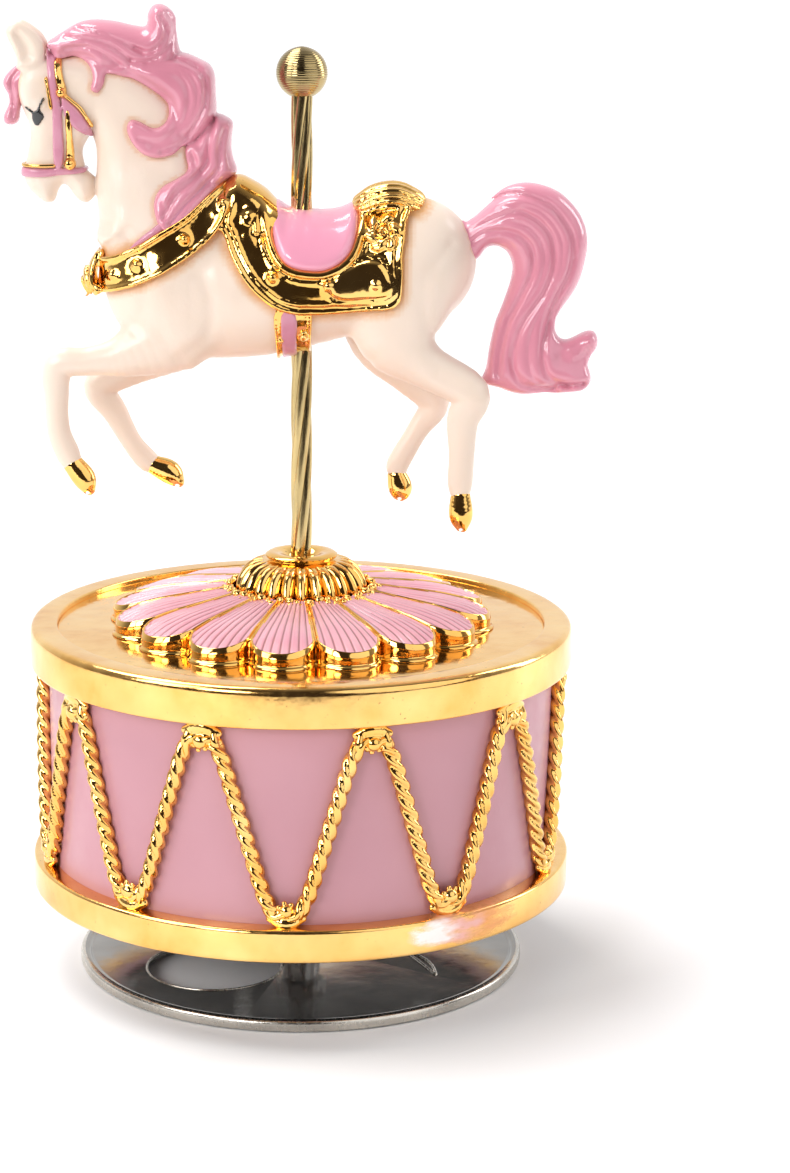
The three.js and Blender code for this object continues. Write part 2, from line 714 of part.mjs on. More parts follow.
const TACK_THICKNESS = 1.2; // of the saddle and the breast collar
const SEAT_THICKNESS = 0.9;
const GIRTH_THICKNESS = 1;
const BRIDLE_THICKNESS = 0.9;
const SADDLE_ROSETTE = [14.4, 138];
const SADDLE_ROSETTE_RADIUS = 2.5;
const RIVET_RADIUS = 0.8;
const SADDLE_RIVETS = [[-9.2, 139.6], [-5, 129.6], [5, 128.4], [13.4, 128.6]];
const COLLAR_RIVETS = [[-29, 131.9], [-20.5, 136.6], [-14.6, 142.4]];

// Gold studs standing out of a piece of tack on both sides, at the side-view points given.
function studs(points, radius, surfaceGrow) {
  const raised = horse(surfaceGrow + 0.5).subtract(horse(surfaceGrow - 0.4));
  const pegs = points.map(([x, z]) => solid(rod(radius, -20, 20, 8).rotateX(Math.PI / 2).translate(x, 0, z)));
  return raised.intersect(join(pegs));
}

function saddle() {
  const skirt = shell(GAP, GAP + TACK_THICKNESS, [SADDLE_SKIRT]);
  const rosettes = studs([SADDLE_ROSETTE], SADDLE_ROSETTE_RADIUS, GAP + TACK_THICKNESS);
  const rivets = studs(SADDLE_RIVETS, RIVET_RADIUS, GAP + TACK_THICKNESS);
  const whole = join([skirt, limb(CANTLE), limb(POMMEL), rosettes, rivets]);
  return cut(whole, [horse(GAP), POLE_ROOM]);
}

function saddleSeat() {
  const inner = 2 * GAP + TACK_THICKNESS;
  return cut(shell(inner, inner + SEAT_THICKNESS, [SEAT_PANEL]), [saddle(), POLE_ROOM]);
}

// Breast collar with the shell ornament on the chest.
function breastCollar() {
  const band = shell(GAP, GAP + TACK_THICKNESS, [COLLAR_BAND]);
  const rivets = studs(COLLAR_RIVETS, RIVET_RADIUS, GAP + TACK_THICKNESS);
  const whole = join([band, limb(CHEST_SHELL), rivets]);
  return cut(whole, [horse(GAP), sidePrism(SADDLE_SKIRT, -GAP)]);
}

function girthStrap() {
  return cut(shell(GAP, GAP + GIRTH_THICKNESS, [GIRTH_BAND]), [POLE_ROOM]);
}

// Bridle: cheek straps, noseband and throat straps, and the headpiece behind the ears.
function bridle() {
  return shell(GAP, GAP + BRIDLE_THICKNESS, [CHEEK_STRAP, NOSEBAND, THROAT_STRAP]);
}

function mane() {
  const locks = [MANE, MANE_CREST_CURL, MANE_REAR_CURL, MANE_FRONT_LOCK, farSide(MANE_FRONT_LOCK)];
  const hair = join(locks.map((stations) => limb(stations)));
  return cut(hair, [horse(GAP), tackRoom()]);
}

// The space that the tack takes, with its clearance.
function tackRoom() {
  const collar = horse(2.2).intersect(sidePrism(COLLAR_BAND).add(sidePrism(COLLAR_BAND, 0, GAP)));
  const besideStraps = sidePrism([[-45.8, 140], [-40.6, 140], [-40.6, 175], [-45.8, 175]]);
  const bridleRoom = horse(GAP + 1.3).intersect(besideStraps);
  return join([collar, sidePrism(SADDLE_SKIRT, -GAP), bridleRoom]);
}

function forelock() {
  return cut(limb(FORELOCK), [horse(GAP), tackRoom()]);
}

function tail() {
  const locks = [TAIL, TAIL_LOWER_TIP, TAIL_OUTER_TIP, TAIL_INNER_TIP].map((stations) => limb(stations));
  return cut(join(locks), [horse(GAP)]);
}

function hoof(stations) {
  return cut(limb(stations), [horse(GAP)]);
}

// ---------------------------------------------------------------- movement: fixed pieces

const BEDPLATE_TOP = BEDPLATE_BOTTOM + 2;
const AXIS_HEIGHT = BEDPLATE_TOP + 8; // of the cylinder and the second wheel
const CYLINDER_RADIUS = 6.5;
const CYLINDER_START = 14.4;
const CYLINDER_END = 31.4;
const ARBOR_RADIUS = 0.8;
const BEARING_RADIUS = ARBOR_RADIUS + GAP;
const HOUSING_RADIUS = 12.6;
const HOUSING_TOP = BEDPLATE_TOP + 18;
const HOUSING_WALL = 0.6;

const CROWN_RADIUS = 9.7; // where the crown teeth meet the middle of the pinion
const PINION_PITCH_RADIUS = (CROWN_RADIUS * PINION_TEETH) / CROWN_TEETH;
const FINE_MODULE = 0.4;
const CYLINDER_WHEEL_PITCH_RADIUS = (FINE_MODULE * CYLINDER_WHEEL_TEETH) / 2;
const SECOND_PINION_PITCH_RADIUS = (FINE_MODULE * SECOND_PINION_TEETH) / 2;
const SECOND_AXIS_Y = CYLINDER_WHEEL_PITCH_RADIUS + SECOND_PINION_PITCH_RADIUS + 0.1;
const SECOND_WHEEL_PITCH_RADIUS = 5;
const SECOND_WHEEL_X = 34.4;
const SECOND_PINION_X = 32.4; // and the cylinder's wheel that drives it
const WORM_PITCH_RADIUS = 1.5;
const WORM_AXIS_Y = SECOND_AXIS_Y + SECOND_WHEEL_PITCH_RADIUS + WORM_PITCH_RADIUS;
const WORM_LEAD = (2 * Math.PI * SECOND_WHEEL_PITCH_RADIUS) / SECOND_WHEEL_TEETH;

const FRAME_INSIDE = [31.2, 36.7];
const FRAME_OUTSIDE = [30.4, 37.5];
const FRAME_TOP = AXIS_HEIGHT + 7;
const COMB_RAIL_Y = [-19, -14.6];
const COMB_BOTTOM = AXIS_HEIGHT - 0.4;
const COMB_THICKNESS = 0.8;
const COMB_HOLE_RADIUS = 1;
const COMB_SCREWS = [[18, -16.8], [27.8, -16.8]];
const HOUSING_SCREWS = [polar(HOUSING_RADIUS + 2.6, 120), polar(HOUSING_RADIUS + 2.6, 240)];
const HOUSING_FOOT_THICKNESS = 1.2;

// Cast bedplate with two bearing posts for the cylinder and a raised rail for the comb.
function bedplate() {
  const across = [-2.6, 2.6];
  const upright = [BEDPLATE_BOTTOM, AXIS_HEIGHT + 2.6];
  const base = solid(block([-15, 37.5], [COMB_RAIL_Y[0], 18.4], [BEDPLATE_BOTTOM, BEDPLATE_TOP]));
  const innerPost = solid(block([12.9, 14], across, upright));
  const outerPost = solid(block([35.6, 37], across, upright));
  const railHeights = [BEDPLATE_BOTTOM, COMB_BOTTOM - GAP];
  const rail = solid(block([CYLINDER_START, CYLINDER_END], COMB_RAIL_Y, railHeights));
  const shaftHole = solid(rod(SHAFT_RADIUS + GAP, 0, 40));
  const bearings = solid(rodAlongX(BEARING_RADIUS, 10, 40, 0, AXIS_HEIGHT, 8));
  const screwHoles = drills([...MOVEMENT_SCREWS, ...HOUSING_SCREWS], SCREW_HOLE_RADIUS, 0, 30);
  const combHoles = drills(COMB_SCREWS, COMB_HOLE_RADIUS, BEDPLATE_TOP, 40);
  return cut(join([base, innerPost, outerPost, rail]), [shaftHole, bearings, ...screwHoles, ...combHoles]);
}

// The spring can: open below, two screwed feet, and a window where the cylinder pinion reaches in.
function springHousing() {
  const bottom = BEDPLATE_TOP + GAP;
  const can = solid(turned([
    [SHAFT_RADIUS + GAP, HOUSING_TOP - HOUSING_WALL],
    [HOUSING_RADIUS - HOUSING_WALL, HOUSING_TOP - HOUSING_WALL],
    [HOUSING_RADIUS - HOUSING_WALL, bottom],
    [HOUSING_RADIUS, bottom],
    [HOUSING_RADIUS, HOUSING_TOP],
    [SHAFT_RADIUS + GAP, HOUSING_TOP],
    [SHAFT_RADIUS + GAP, HOUSING_TOP - HOUSING_WALL],
  ], 36));
  const footTop = bottom + HOUSING_FOOT_THICKNESS;
  const feet = HOUSING_SCREWS.map(([x, y]) => solid(rod(3, bottom, footTop, 16).translate(x, y, 0)));
  const hollow = solid(rod(HOUSING_RADIUS - HOUSING_WALL, 0, HOUSING_TOP - 2, 36));
  const screwHoles = drills(HOUSING_SCREWS, SCREW_HOLE_RADIUS, 0, 40);
  const window = solid(block([4, 20], [-4.6, 4.6], [bottom - 1, AXIS_HEIGHT + 4.6]));
  return cut(can.add(cut(join(feet), [hollow])), [...screwHoles, window]);
}

// Coiled mainspring ribbon, in the upper part of the can.
function mainspring() {
  const turns = 4;
  const stepsPerTurn = 16;
  const inner = SHAFT_RADIUS + 1.4;
  const pitch = (HOUSING_RADIUS - HOUSING_WALL - 1 - inner) / turns;
  const ribbon = 0.5;
  const outside = [];
  const inside = [];
  for (let i = 0; i <= turns * stepsPerTurn; i++) {
    const radius = inner + (pitch * i) / stepsPerTurn;
    outside.push(polar(radius + ribbon, (360 * i) / stepsPerTurn));
    inside.unshift(polar(radius, (360 * i) / stepsPerTurn));
  }
  return slab(outline([...outside, ...inside]), AXIS_HEIGHT + 5, HOUSING_TOP - HOUSING_WALL - 1);
}

// The comb: a screwed-down back with one tooth for each note reaching towards the cylinder.
function comb() {
  const [backY, frontY] = [COMB_RAIL_Y[0], COMB_RAIL_Y[1] + 0.8];
  const pitch = (CYLINDER_END - CYLINDER_START - 1) / COMB_TEETH;
  const start = CYLINDER_START + 0.5;
  const edge = [[start, backY], [start + COMB_TEETH * pitch, backY]];
  for (let tooth = COMB_TEETH - 1; tooth >= 0; tooth--) {
    const slit = 0.14; // between teeth, as a part of the pitch on each side
    const [left, right] = [start + (tooth + slit) * pitch, start + (tooth + 1 - slit) * pitch];
    const tip = -CYLINDER_RADIUS - 1.1;
    edge.push([right, frontY], [right, tip], [left, tip], [left, frontY]);
  }
  const holes = drills(COMB_SCREWS, COMB_HOLE_RADIUS, 0, 60);
  return cut(solid(slab(outline(edge), COMB_BOTTOM, COMB_BOTTOM + COMB_THICKNESS)), holes);
}

// The governor's frame: a rectangular loop of brass with pivot holes for the wheel and the worm.
function governorFrame() {
  const bottom = BEDPLATE_TOP + GAP;
  const bar = 0.8;
  const [depth, farY] = [10.4, 18];
  const loop = outline([
    [FRAME_OUTSIDE[0], bottom], [FRAME_OUTSIDE[1], bottom],
    [FRAME_OUTSIDE[1], FRAME_TOP], [FRAME_OUTSIDE[0], FRAME_TOP],
  ]);
  const opening = [
    [FRAME_INSIDE[0], bottom + bar], [FRAME_INSIDE[1], bottom + bar],
    [FRAME_INSIDE[1], FRAME_TOP - bar], [FRAME_INSIDE[0], FRAME_TOP - bar],
  ];
  loop.holes.push(new THREE.Path(opening.map(([x, z]) => new THREE.Vector2(x, z))));
  const geometry = new THREE.ExtrudeGeometry(loop, { depth, bevelEnabled: false });
  const frame = solid(geometry.rotateX(Math.PI / 2).translate(0, farY, 0));
  const wheelPivots = solid(rodAlongX(BEARING_RADIUS, 29, 39, SECOND_AXIS_Y, AXIS_HEIGHT, 8));
  const wormPivots = solid(rod(BEARING_RADIUS, 0, 60, 8).translate(SECOND_WHEEL_X, WORM_AXIS_Y, 0));
  return cut(frame, [wheelPivots, wormPivots]);
}

// ---------------------------------------------------------------- movement: turning pieces

const PINION_BORE_RADIUS = ARBOR_RADIUS + 0.2;
const ROOT_CLEARANCE = 0.15;

// A toothed disc in X and Y. The first tooth points along the bearing given.
function gear(teeth, pitchRadius, depth, firstTooth, boreRadius, thickness) {
  const pitch = 360 / teeth;
  const [tip, root] = [pitchRadius + depth / 2, pitchRadius - depth / 2 - ROOT_CLEARANCE];
  const [halfTip, halfRoot] = [0.11 * pitch, 0.22 * pitch];
  const corners = [];
  for (let tooth = 0; tooth < teeth; tooth++) {
    const middle = firstTooth + tooth * pitch;
    corners.push(polar(root, middle - halfRoot), polar(tip, middle - halfTip));
    corners.push(polar(tip, middle + halfTip), polar(root, middle + halfRoot));
  }
  const shape = outline(corners);
  shape.holes.push(new THREE.Path().absarc(0, 0, boreRadius, 0, 2 * Math.PI));
  return slab(shape, -thickness / 2, thickness / 2, 6);
}

// The same gear turned to lie across an X axis; its bearings are then measured from -Z towards +Y.
function gearAlongX(x, y, ...gearSizes) {
  return gear(...gearSizes).rotateY(Math.PI / 2).translate(x, y, AXIS_HEIGHT);
}

function cylinderPinion() {
  return gearAlongX(CROWN_RADIUS, 0, PINION_TEETH, PINION_PITCH_RADIUS, 1, 0, PINION_BORE_RADIUS, 2.4);
}

function cylinderWheel() {
  const sizes = [CYLINDER_WHEEL_TEETH, CYLINDER_WHEEL_PITCH_RADIUS, 0.6, 90, PINION_BORE_RADIUS, 1];
  return gearAlongX(SECOND_PINION_X, 0, ...sizes);
}

// Turned by half a tooth, so that a gap of this pinion meets a tooth of the cylinder's wheel.
function secondPinion() {
  const firstTooth = 90 + 180 / SECOND_PINION_TEETH;
  const sizes = [SECOND_PINION_TEETH, SECOND_PINION_PITCH_RADIUS, 0.6, firstTooth, PINION_BORE_RADIUS, 1];
  return gearAlongX(SECOND_PINION_X, SECOND_AXIS_Y, ...sizes);
}

function secondWheel() {
  const sizes = [SECOND_WHEEL_TEETH, SECOND_WHEEL_PITCH_RADIUS, 0.8, 90, PINION_BORE_RADIUS, 1];
  return gearAlongX(SECOND_WHEEL_X, SECOND_AXIS_Y, ...sizes);
}

// The crown wheel on the shaft: teeth standing up to meet the cylinder's pinion.
function greatWheel() {
  const rimInner = CROWN_RADIUS - 1.4;
  const rimOuter = CROWN_RADIUS + 1.4;
  const toothRoot = AXIS_HEIGHT - PINION_PITCH_RADIUS - 0.8;
  const toothTop = AXIS_HEIGHT - PINION_PITCH_RADIUS + 0.45;
  const bottom = BEDPLATE_TOP + 1;
  const disc = solid(ring([
    [SHAFT_RADIUS + GAP, bottom],
    [rimOuter, bottom],
    [rimOuter, toothRoot],
    [rimInner, toothRoot],
    [rimInner, bottom + 1],
    [SHAFT_RADIUS + GAP, bottom + 1],
  ], CROWN_TEETH));
  const teeth = Array.from({ length: CROWN_TEETH }, (_, i) => {
    const tooth = block([rimInner, rimOuter], [-0.35, 0.35], [toothRoot - 0.3, toothTop]);
    return solid(tooth.rotateZ((2 * Math.PI * (i + 0.5)) / CROWN_TEETH));
  });
  return join([disc, ...teeth]);
}

function windingShaft() {
  return turned([
    [0, PLATE_TOP - PLATE_THICKNESS],
    [SHAFT_RADIUS, PLATE_TOP - PLATE_THICKNESS],
    [SHAFT_RADIUS, HOUSING_TOP + 0.8],
    [SHAFT_RADIUS - 0.6, HOUSING_TOP + 1.4],
    [0, HOUSING_TOP + 1.4],
  ], 20);
}

// The pins stand in rings, one ring for each comb tooth, at scattered angles.
function pinnedCylinder() {
  const pitch = (CYLINDER_END - CYLINDER_START - 1) / COMB_TEETH;
  const tube = solid(ring([
    [ARBOR_RADIUS + GAP, CYLINDER_START],
    [CYLINDER_RADIUS, CYLINDER_START],
    [CYLINDER_RADIUS, CYLINDER_END],
    [ARBOR_RADIUS + GAP, CYLINDER_END],
  ], 36));
  const pins = [];
  const goldenAngle = 137.5;
  for (let note = 0; note < 2 * COMB_TEETH; note++) {
    const along = CYLINDER_START + 0.5 + ((note % COMB_TEETH) + 0.5) * pitch;
    const reach = [CYLINDER_RADIUS - 0.5, CYLINDER_RADIUS + 0.7];
    const pin = block(reach, [-0.15, 0.15], [along - 0.15, along + 0.15]);
    pins.push(solid(pin.rotateZ(THREE.MathUtils.degToRad(note * goldenAngle))));
  }
  return surface(join([tube, ...pins])).rotateY(Math.PI / 2).translate(0, 0, AXIS_HEIGHT);
}

// Single-start worm on its spindle; the thread gap faces the second wheel at rest.
function governorWorm() {
  const length = 3.4;
  function threadSection(angle) {
    const past = THREE.MathUtils.euclideanModulo(angle + Math.PI / 2, 2 * Math.PI);
    const fromCrest = Math.abs(past - Math.PI);
    const rise = THREE.MathUtils.clamp((1.25 - fromCrest) / 0.7, 0, 1);
    return THREE.MathUtils.lerp(WORM_PITCH_RADIUS - 0.7, WORM_PITCH_RADIUS + 0.4, rise);
  }
  const thread = twistedBar(threadSection, 14, -length / 2, length / 2, WORM_LEAD, 20);
  const spindle = rod(ARBOR_RADIUS - 0.1, -AXIS_HEIGHT + BEDPLATE_TOP + 0.6, FRAME_TOP - AXIS_HEIGHT + 6, 8);
  return surface(solid(thread).add(solid(spindle))).translate(SECOND_WHEEL_X, WORM_AXIS_Y, AXIS_HEIGHT);
}

// Two-bladed air brake on the top of the worm's spindle.
function governorFly() {
  const [bottom, top] = [FRAME_TOP + 0.8, FRAME_TOP + 5];
  const hub = solid(rod(1.5, bottom, top, 12));
  const blades = solid(block([-4.2, 4.2], [-0.25, 0.25], [bottom, top]));
  const bore = solid(rod(ARBOR_RADIUS + 0.2, 0, 80, 12));
  return surface(hub.add(blades).subtract(bore)).translate(SECOND_WHEEL_X, WORM_AXIS_Y, 0);
}

// ---------------------------------------------------------------- assembly

add('turntable_plate', turntablePlate(), STEEL);
add('shaft_bush', shaftBush(), STEEL);
const lockNutBottom = BUSH_TOP + GAP;
const lockNutTop = lockNutBottom + LOCK_NUT_HEIGHT;
add('shaft_lock_nut', hexNut(SHAFT_RADIUS + GAP, LOCK_NUT_ACROSS_FLATS, lockNutBottom, lockNutTop), STEEL);
add('winding_shaft', windingShaft(), STEEL);
add('great_wheel', greatWheel(), BRASS);

add('base_cover', baseCover(), BLACK_PLASTIC);
COVER_SCREW_BEARINGS.forEach((bearing, i) => {
  const [x, y] = polar(COVER_SCREW_CIRCLE, bearing);
  add(`cover_screw_${i + 1}`, screw(COVER_BOTTOM - 0.1, COVER_TOP + 8, 2.2).translate(x, y, 0), STEEL);
});
add('drum_wall', drumWall(), DRUM_PINK);
add('lower_hoop', lowerHoop(), GOLD);
add('upper_hoop', upperHoop(), GOLD);
add('rope_lacing', ropeLacing(), GOLD);
add('top_plate', topPlate(), GOLD);
add('flower_rosette', flowerRosette(), PINK_ENAMEL);
add('bead_ring', beadRing(), GOLD);
add('rosette_hub', rosetteHub(), GOLD);

add('pole', pole(), BRASS);
const poleNutBottom = POLE_NUT_TOP - POLE_NUT_HEIGHT;
add('pole_nut', hexNut(POLE_RADIUS + GAP, POLE_NUT_ACROSS_FLATS, poleNutBottom, POLE_NUT_TOP), STEEL);
add('ball_finial', ballFinial(), BRASS);

add('horse_body', horse().subtract(POLE_ROOM), CREAM_PAINT);
add('mane', mane(), PINK_ENAMEL);
add('forelock', forelock(), PINK_ENAMEL);
add('tail', tail(), PINK_ENAMEL);
add('saddle', saddle(), GOLD);
add('saddle_seat', saddleSeat(), SEAT_PINK);
add('breast_collar', breastCollar(), GOLD);
add('girth_strap', girthStrap(), SEAT_PINK);
add('bridle', bridle(), GOLD);
add('hoof_near_fore', hoof(NEAR_FORE_HOOF), GOLD);
add('hoof_far_fore', hoof(FAR_FORE_HOOF), GOLD);
add('hoof_near_hind', hoof(NEAR_HIND_HOOF), GOLD);
add('hoof_far_hind', hoof(FAR_HIND_HOOF), GOLD);

add('movement_bedplate', bedplate(), ZINC);
MOVEMENT_SCREWS.forEach(([x, y], i) => {
  const driven = screw(COVER_BOTTOM - 0.1, BEDPLATE_TOP - 0.2, 2.2).translate(x, y, 0);
  add(`movement_screw_${i + 1}`, driven, STEEL);
});
add('spring_housing', springHousing(), ZINC);
HOUSING_SCREWS.forEach(([x, y], i) => {
  const seat = BEDPLATE_TOP + 1.9;
  const driven = screw(-seat, -BEDPLATE_BOTTOM - 0.2, 2.2).rotateX(Math.PI).translate(x, y, 0);
  add(`housing_screw_${i + 1}`, driven, STEEL);
});
add('mainspring', mainspring(), STEEL);
add('comb', comb(), STEEL);
COMB_SCREWS.forEach(([x, y], i) => {
  const driven = screw(-COMB_BOTTOM - 0.9, -COMB_BOTTOM + 4, 1.6, 0.7).rotateX(Math.PI).translate(x, y, 0);
  add(`comb_screw_${i + 1}`, driven, STEEL);
});
add('governor_frame', governorFrame(), BRASS);

add('cylinder', pinnedCylinder(), BRASS);
add('cylinder_arbor', rodAlongX(ARBOR_RADIUS, 7.6, 37.6, 0, AXIS_HEIGHT, 12), STEEL);
add('cylinder_pinion', cylinderPinion(), BRASS);
add('cylinder_wheel', cylinderWheel(), BRASS);
add('second_arbor', rodAlongX(ARBOR_RADIUS, 30.6, 37.2, SECOND_AXIS_Y, AXIS_HEIGHT, 12), STEEL);
add('second_pinion', secondPinion(), BRASS);
add('second_wheel', secondWheel(), BRASS);
add('governor_worm', governorWorm(), STEEL);
add('governor_fly', governorFly(), BRASS);

export default part;
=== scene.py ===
"""Looks of the carousel music box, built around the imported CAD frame.

Lengths are in millimetres until a mesh is made, and +Z is up. The horse faces -X and its near side is -Y.
Free-form pieces (horse, hair, tack, knots) are modelled as signed distances on a grid, like clay, and
then meshed. Turned and lathe-like pieces are rings of points.
"""

import math

import bpy
import numpy as np
import openvdb
from mathutils import Matrix, Vector


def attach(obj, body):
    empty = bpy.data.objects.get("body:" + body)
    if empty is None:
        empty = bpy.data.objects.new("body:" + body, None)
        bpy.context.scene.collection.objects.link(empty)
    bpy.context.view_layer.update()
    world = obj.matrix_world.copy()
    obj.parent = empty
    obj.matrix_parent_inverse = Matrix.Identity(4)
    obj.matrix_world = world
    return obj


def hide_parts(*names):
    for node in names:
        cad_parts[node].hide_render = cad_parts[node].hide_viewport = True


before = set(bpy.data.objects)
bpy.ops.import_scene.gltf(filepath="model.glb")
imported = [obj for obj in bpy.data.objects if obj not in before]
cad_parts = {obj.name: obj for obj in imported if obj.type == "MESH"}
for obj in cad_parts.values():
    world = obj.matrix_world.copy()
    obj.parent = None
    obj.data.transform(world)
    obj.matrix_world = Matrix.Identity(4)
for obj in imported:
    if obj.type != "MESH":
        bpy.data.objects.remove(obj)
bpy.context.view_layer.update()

MM = 0.001
SEED = 11
FAR = 50.0  # a distance, in mm, that means "nothing near"

# ------------------------------------------------------------------ driving dimensions, as in the CAD

DRUM_RADIUS = 50.0
DRUM_BOTTOM = 15.9
DRUM_TOP = 65.3
WALL_RADIUS = 46.5
WALL_INNER_RADIUS = 43.5
LOWER_HOOP_TOP = 21.9
UPPER_HOOP_BOTTOM = 57.9
TOP_PLATE_TOP = 64.3
TOP_PLATE_BOTTOM = 62.3
TOP_PLATE_RADIUS = 44.9
LACING_PERIODS = 10
LACING_BEARING = -109.5  # degrees, of one upper knot

PLATE_RADIUS = 41.5
PLATE_TOP = 1.5
PLATE_THICKNESS = 0.8
RIM_TOP = 2.1
SHAFT_RADIUS = 2.25
SOUND_HOLE_RADIUS = 12.5
SOUND_HOLE_OFFSET = 20.0
SOUND_HOLE_BEARING = -142.0

PETALS = 16
ROSETTE_RADIUS = 35.0
PETAL_BEARING = -94.8
BEAD_CIRCLE = 13.7
HUB_RADIUS = 12.2
HUB_TOP = 78.0

POLE_RADIUS = 1.95
POLE_BOTTOM = 57.5
POLE_TOP = 162.0
POLE_LEAD = 66.0
POLE_FLUTES = 5
BALL_RADIUS = 4.6
BALL_CENTRE = 165.0
GAP = 0.3


def polar(radius, degrees):
    """The X and Y of a place at a radius and a bearing."""
    return radius * math.cos(math.radians(degrees)), radius * math.sin(math.radians(degrees))


# ------------------------------------------------------------------ materials


def material(name, colour, roughness, metallic=0.0, coat=0.0):
    """A new material; returns it with its node tree and main shader."""
    made = bpy.data.materials.new(name)
    made.use_nodes = True
    tree = made.node_tree
    shader = tree.nodes["Principled BSDF"]
    shader.inputs["Base Color"].default_value = (*colour, 1)
    shader.inputs["Roughness"].default_value = roughness
    shader.inputs["Metallic"].default_value = metallic
    shader.inputs["Coat Weight"].default_value = coat
    shader.inputs["Coat Roughness"].default_value = 0.06
    return made, tree, shader


def feed(tree, socket, value):
    """Gives an input a value, or links to it the output that is its value."""
    if isinstance(value, bpy.types.NodeSocket):
        tree.links.new(value, socket)
    else:
        socket.default_value = value


def add_node(tree, kind, inputs=()):
    """A new node with its inputs fed, each by its name or number."""
    node = tree.nodes.new("ShaderNode" + kind)
    for name, value in dict(inputs).items():
        feed(tree, node.inputs[name], value)
    return node


def stretched_place(tree, stretch):
    """The object's own coordinates, each multiplied by its part of the stretch."""
    place = add_node(tree, "TexCoord").outputs["Object"]
    return add_node(tree, "Mapping", {"Vector": place, "Scale": stretch}).outputs["Vector"]


def noise(tree, scale, detail=3.0, stretch=(1, 1, 1)):
    """A noise texture in the object's own coordinates; scale counts features per metre."""
    place = stretched_place(tree, stretch)
    return add_node(tree, "TexNoise", {"Vector": place, "Scale": scale, "Detail": detail}).outputs["Fac"]


def ramp(tree, factor, stops):
    """A colour ramp over (position, grey or colour) stops."""
    node = add_node(tree, "ValToRGB", {"Fac": factor})
    elements = node.color_ramp.elements
    while len(elements) < len(stops):
        elements.new(0.5)
    for element, (position, value) in zip(elements, stops):
        element.position = position
        element.color = (value, value, value, 1) if np.isscalar(value) else (*value, 1)
    return node.outputs["Color"]


def mix_colours(tree, factor, first, second):
    """Blends two colours (or colour sockets) by a factor socket."""
    node = add_node(tree, "Mix")
    node.data_type = "RGBA"
    for number, value in ((0, factor), (6, first), (7, second)):
        feed(tree, node.inputs[number], (*value, 1) if isinstance(value, tuple) else value)
    return node.outputs[2]


def point_value(tree, name):
    """The value that paint_attribute keeps on the mesh."""
    node = add_node(tree, "Attribute")
    node.attribute_name = name
    return node.outputs["Fac"]


def add_bump(tree, shader, height, distance_mm):
    """Relief too fine to model, from a height socket that runs from 0 to 1."""
    bump = add_node(tree, "Bump", {"Distance": distance_mm * MM, "Strength": 1.0, "Height": height})
    tree.links.new(bump.outputs["Normal"], shader.inputs["Normal"])


PALE_GOLD, DEEP_GOLD, WORN_GOLD = (1.0, 0.69, 0.28), (0.80, 0.38, 0.07), (0.45, 0.25, 0.10)
# Dark brown for the painted shade in the petals' grooves.
GROOVE_SHADE_BROWN = (0.20, 0.06, 0.05)
ORANGE_PEEL = 0.02  # depth in mm of the ripple in sprayed paint


def gilt(name, waviness=0.07, roughness=0.07, colour=(0.95, 0.58, 0.16)):
    """Mirror gold on a casting: softly wavy, with pale and deep patches and small worn specks."""
    made, tree, shader = material(name, colour, roughness, metallic=1.0)
    patches = ramp(tree, noise(tree, 90), [(0.35, 0.0), (0.7, 1.0)])
    tone = mix_colours(tree, patches, DEEP_GOLD, PALE_GOLD)
    strength = ramp(tree, noise(tree, 260), [(0.3, 0.25), (0.7, 0.75)])
    base = mix_colours(tree, strength, colour, tone)
    specks = ramp(tree, noise(tree, 1500, 2.0), [(0.71, 0.0), (0.76, 1.0)])
    tree.links.new(mix_colours(tree, specks, base, WORN_GOLD), shader.inputs["Base Color"])
    rough = ramp(tree, noise(tree, 420), [(0.3, 0.7 * roughness), (0.75, 1.9 * roughness)])
    tree.links.new(rough, shader.inputs["Roughness"])
    add_bump(tree, shader, noise(tree, 330, 2.0), waviness)
    return made


def stray_paint(made, colour, bearing, height, reach):
    """A flaw: a thin ragged smear of paint on the drum's rim; its height and reach are in mm."""
    tree = made.node_tree
    shader = tree.nodes["Principled BSDF"]
    lengthen = np.array([0.4, 0.4, 1.0])  # the smear runs along the rim
    place = np.array([*polar(DRUM_RADIUS, bearing), height]) * MM
    distance = add_node(tree, "VectorMath", {0: stretched_place(tree, lengthen), 1: place * lengthen})
    distance.operation = "DISTANCE"
    nearness = add_node(tree, "MapRange", {"Value": distance.outputs["Value"], "From Min": reach * MM,
                                           "From Max": 0})
    wisps = noise(tree, 420, 4.0, (0.5, 0.5, 1.6))
    ragged = add_node(tree, "Math", {0: nearness.outputs["Result"], 1: wisps})
    ragged.operation = "MULTIPLY"
    patch = ramp(tree, ragged.outputs["Value"], [(0.16, 0.0), (0.34, 0.9)])
    gold = shader.inputs["Base Color"].links[0].from_socket
    tree.links.new(mix_colours(tree, patch, gold, colour), shader.inputs["Base Color"])
    shine = shader.inputs["Metallic"]
    before = shine.links[0].from_socket if shine.is_linked else (1.0, 1.0, 1.0)
    tree.links.new(mix_colours(tree, patch, before, (0.2, 0.2, 0.2)), shine)


def enamel(name, colour, shade, roughness=0.2, coat=0.6):
    """Sprayed paint: a slow drift of tone, faint orange peel and a clear gloss."""
    made, tree, shader = material(name, colour, roughness, coat=coat)
    drift = ramp(tree, noise(tree, 45, 2.0), [(0.3, 0.0), (0.75, 1.0)])
    tree.links.new(mix_colours(tree, drift, colour, shade), shader.inputs["Base Color"])
    rough = ramp(tree, noise(tree, 300), [(0.3, 0.8 * roughness), (0.8, 1.4 * roughness)])
    tree.links.new(rough, shader.inputs["Roughness"])
    add_bump(tree, shader, noise(tree, 900, 3.0), ORANGE_PEEL)
    return made


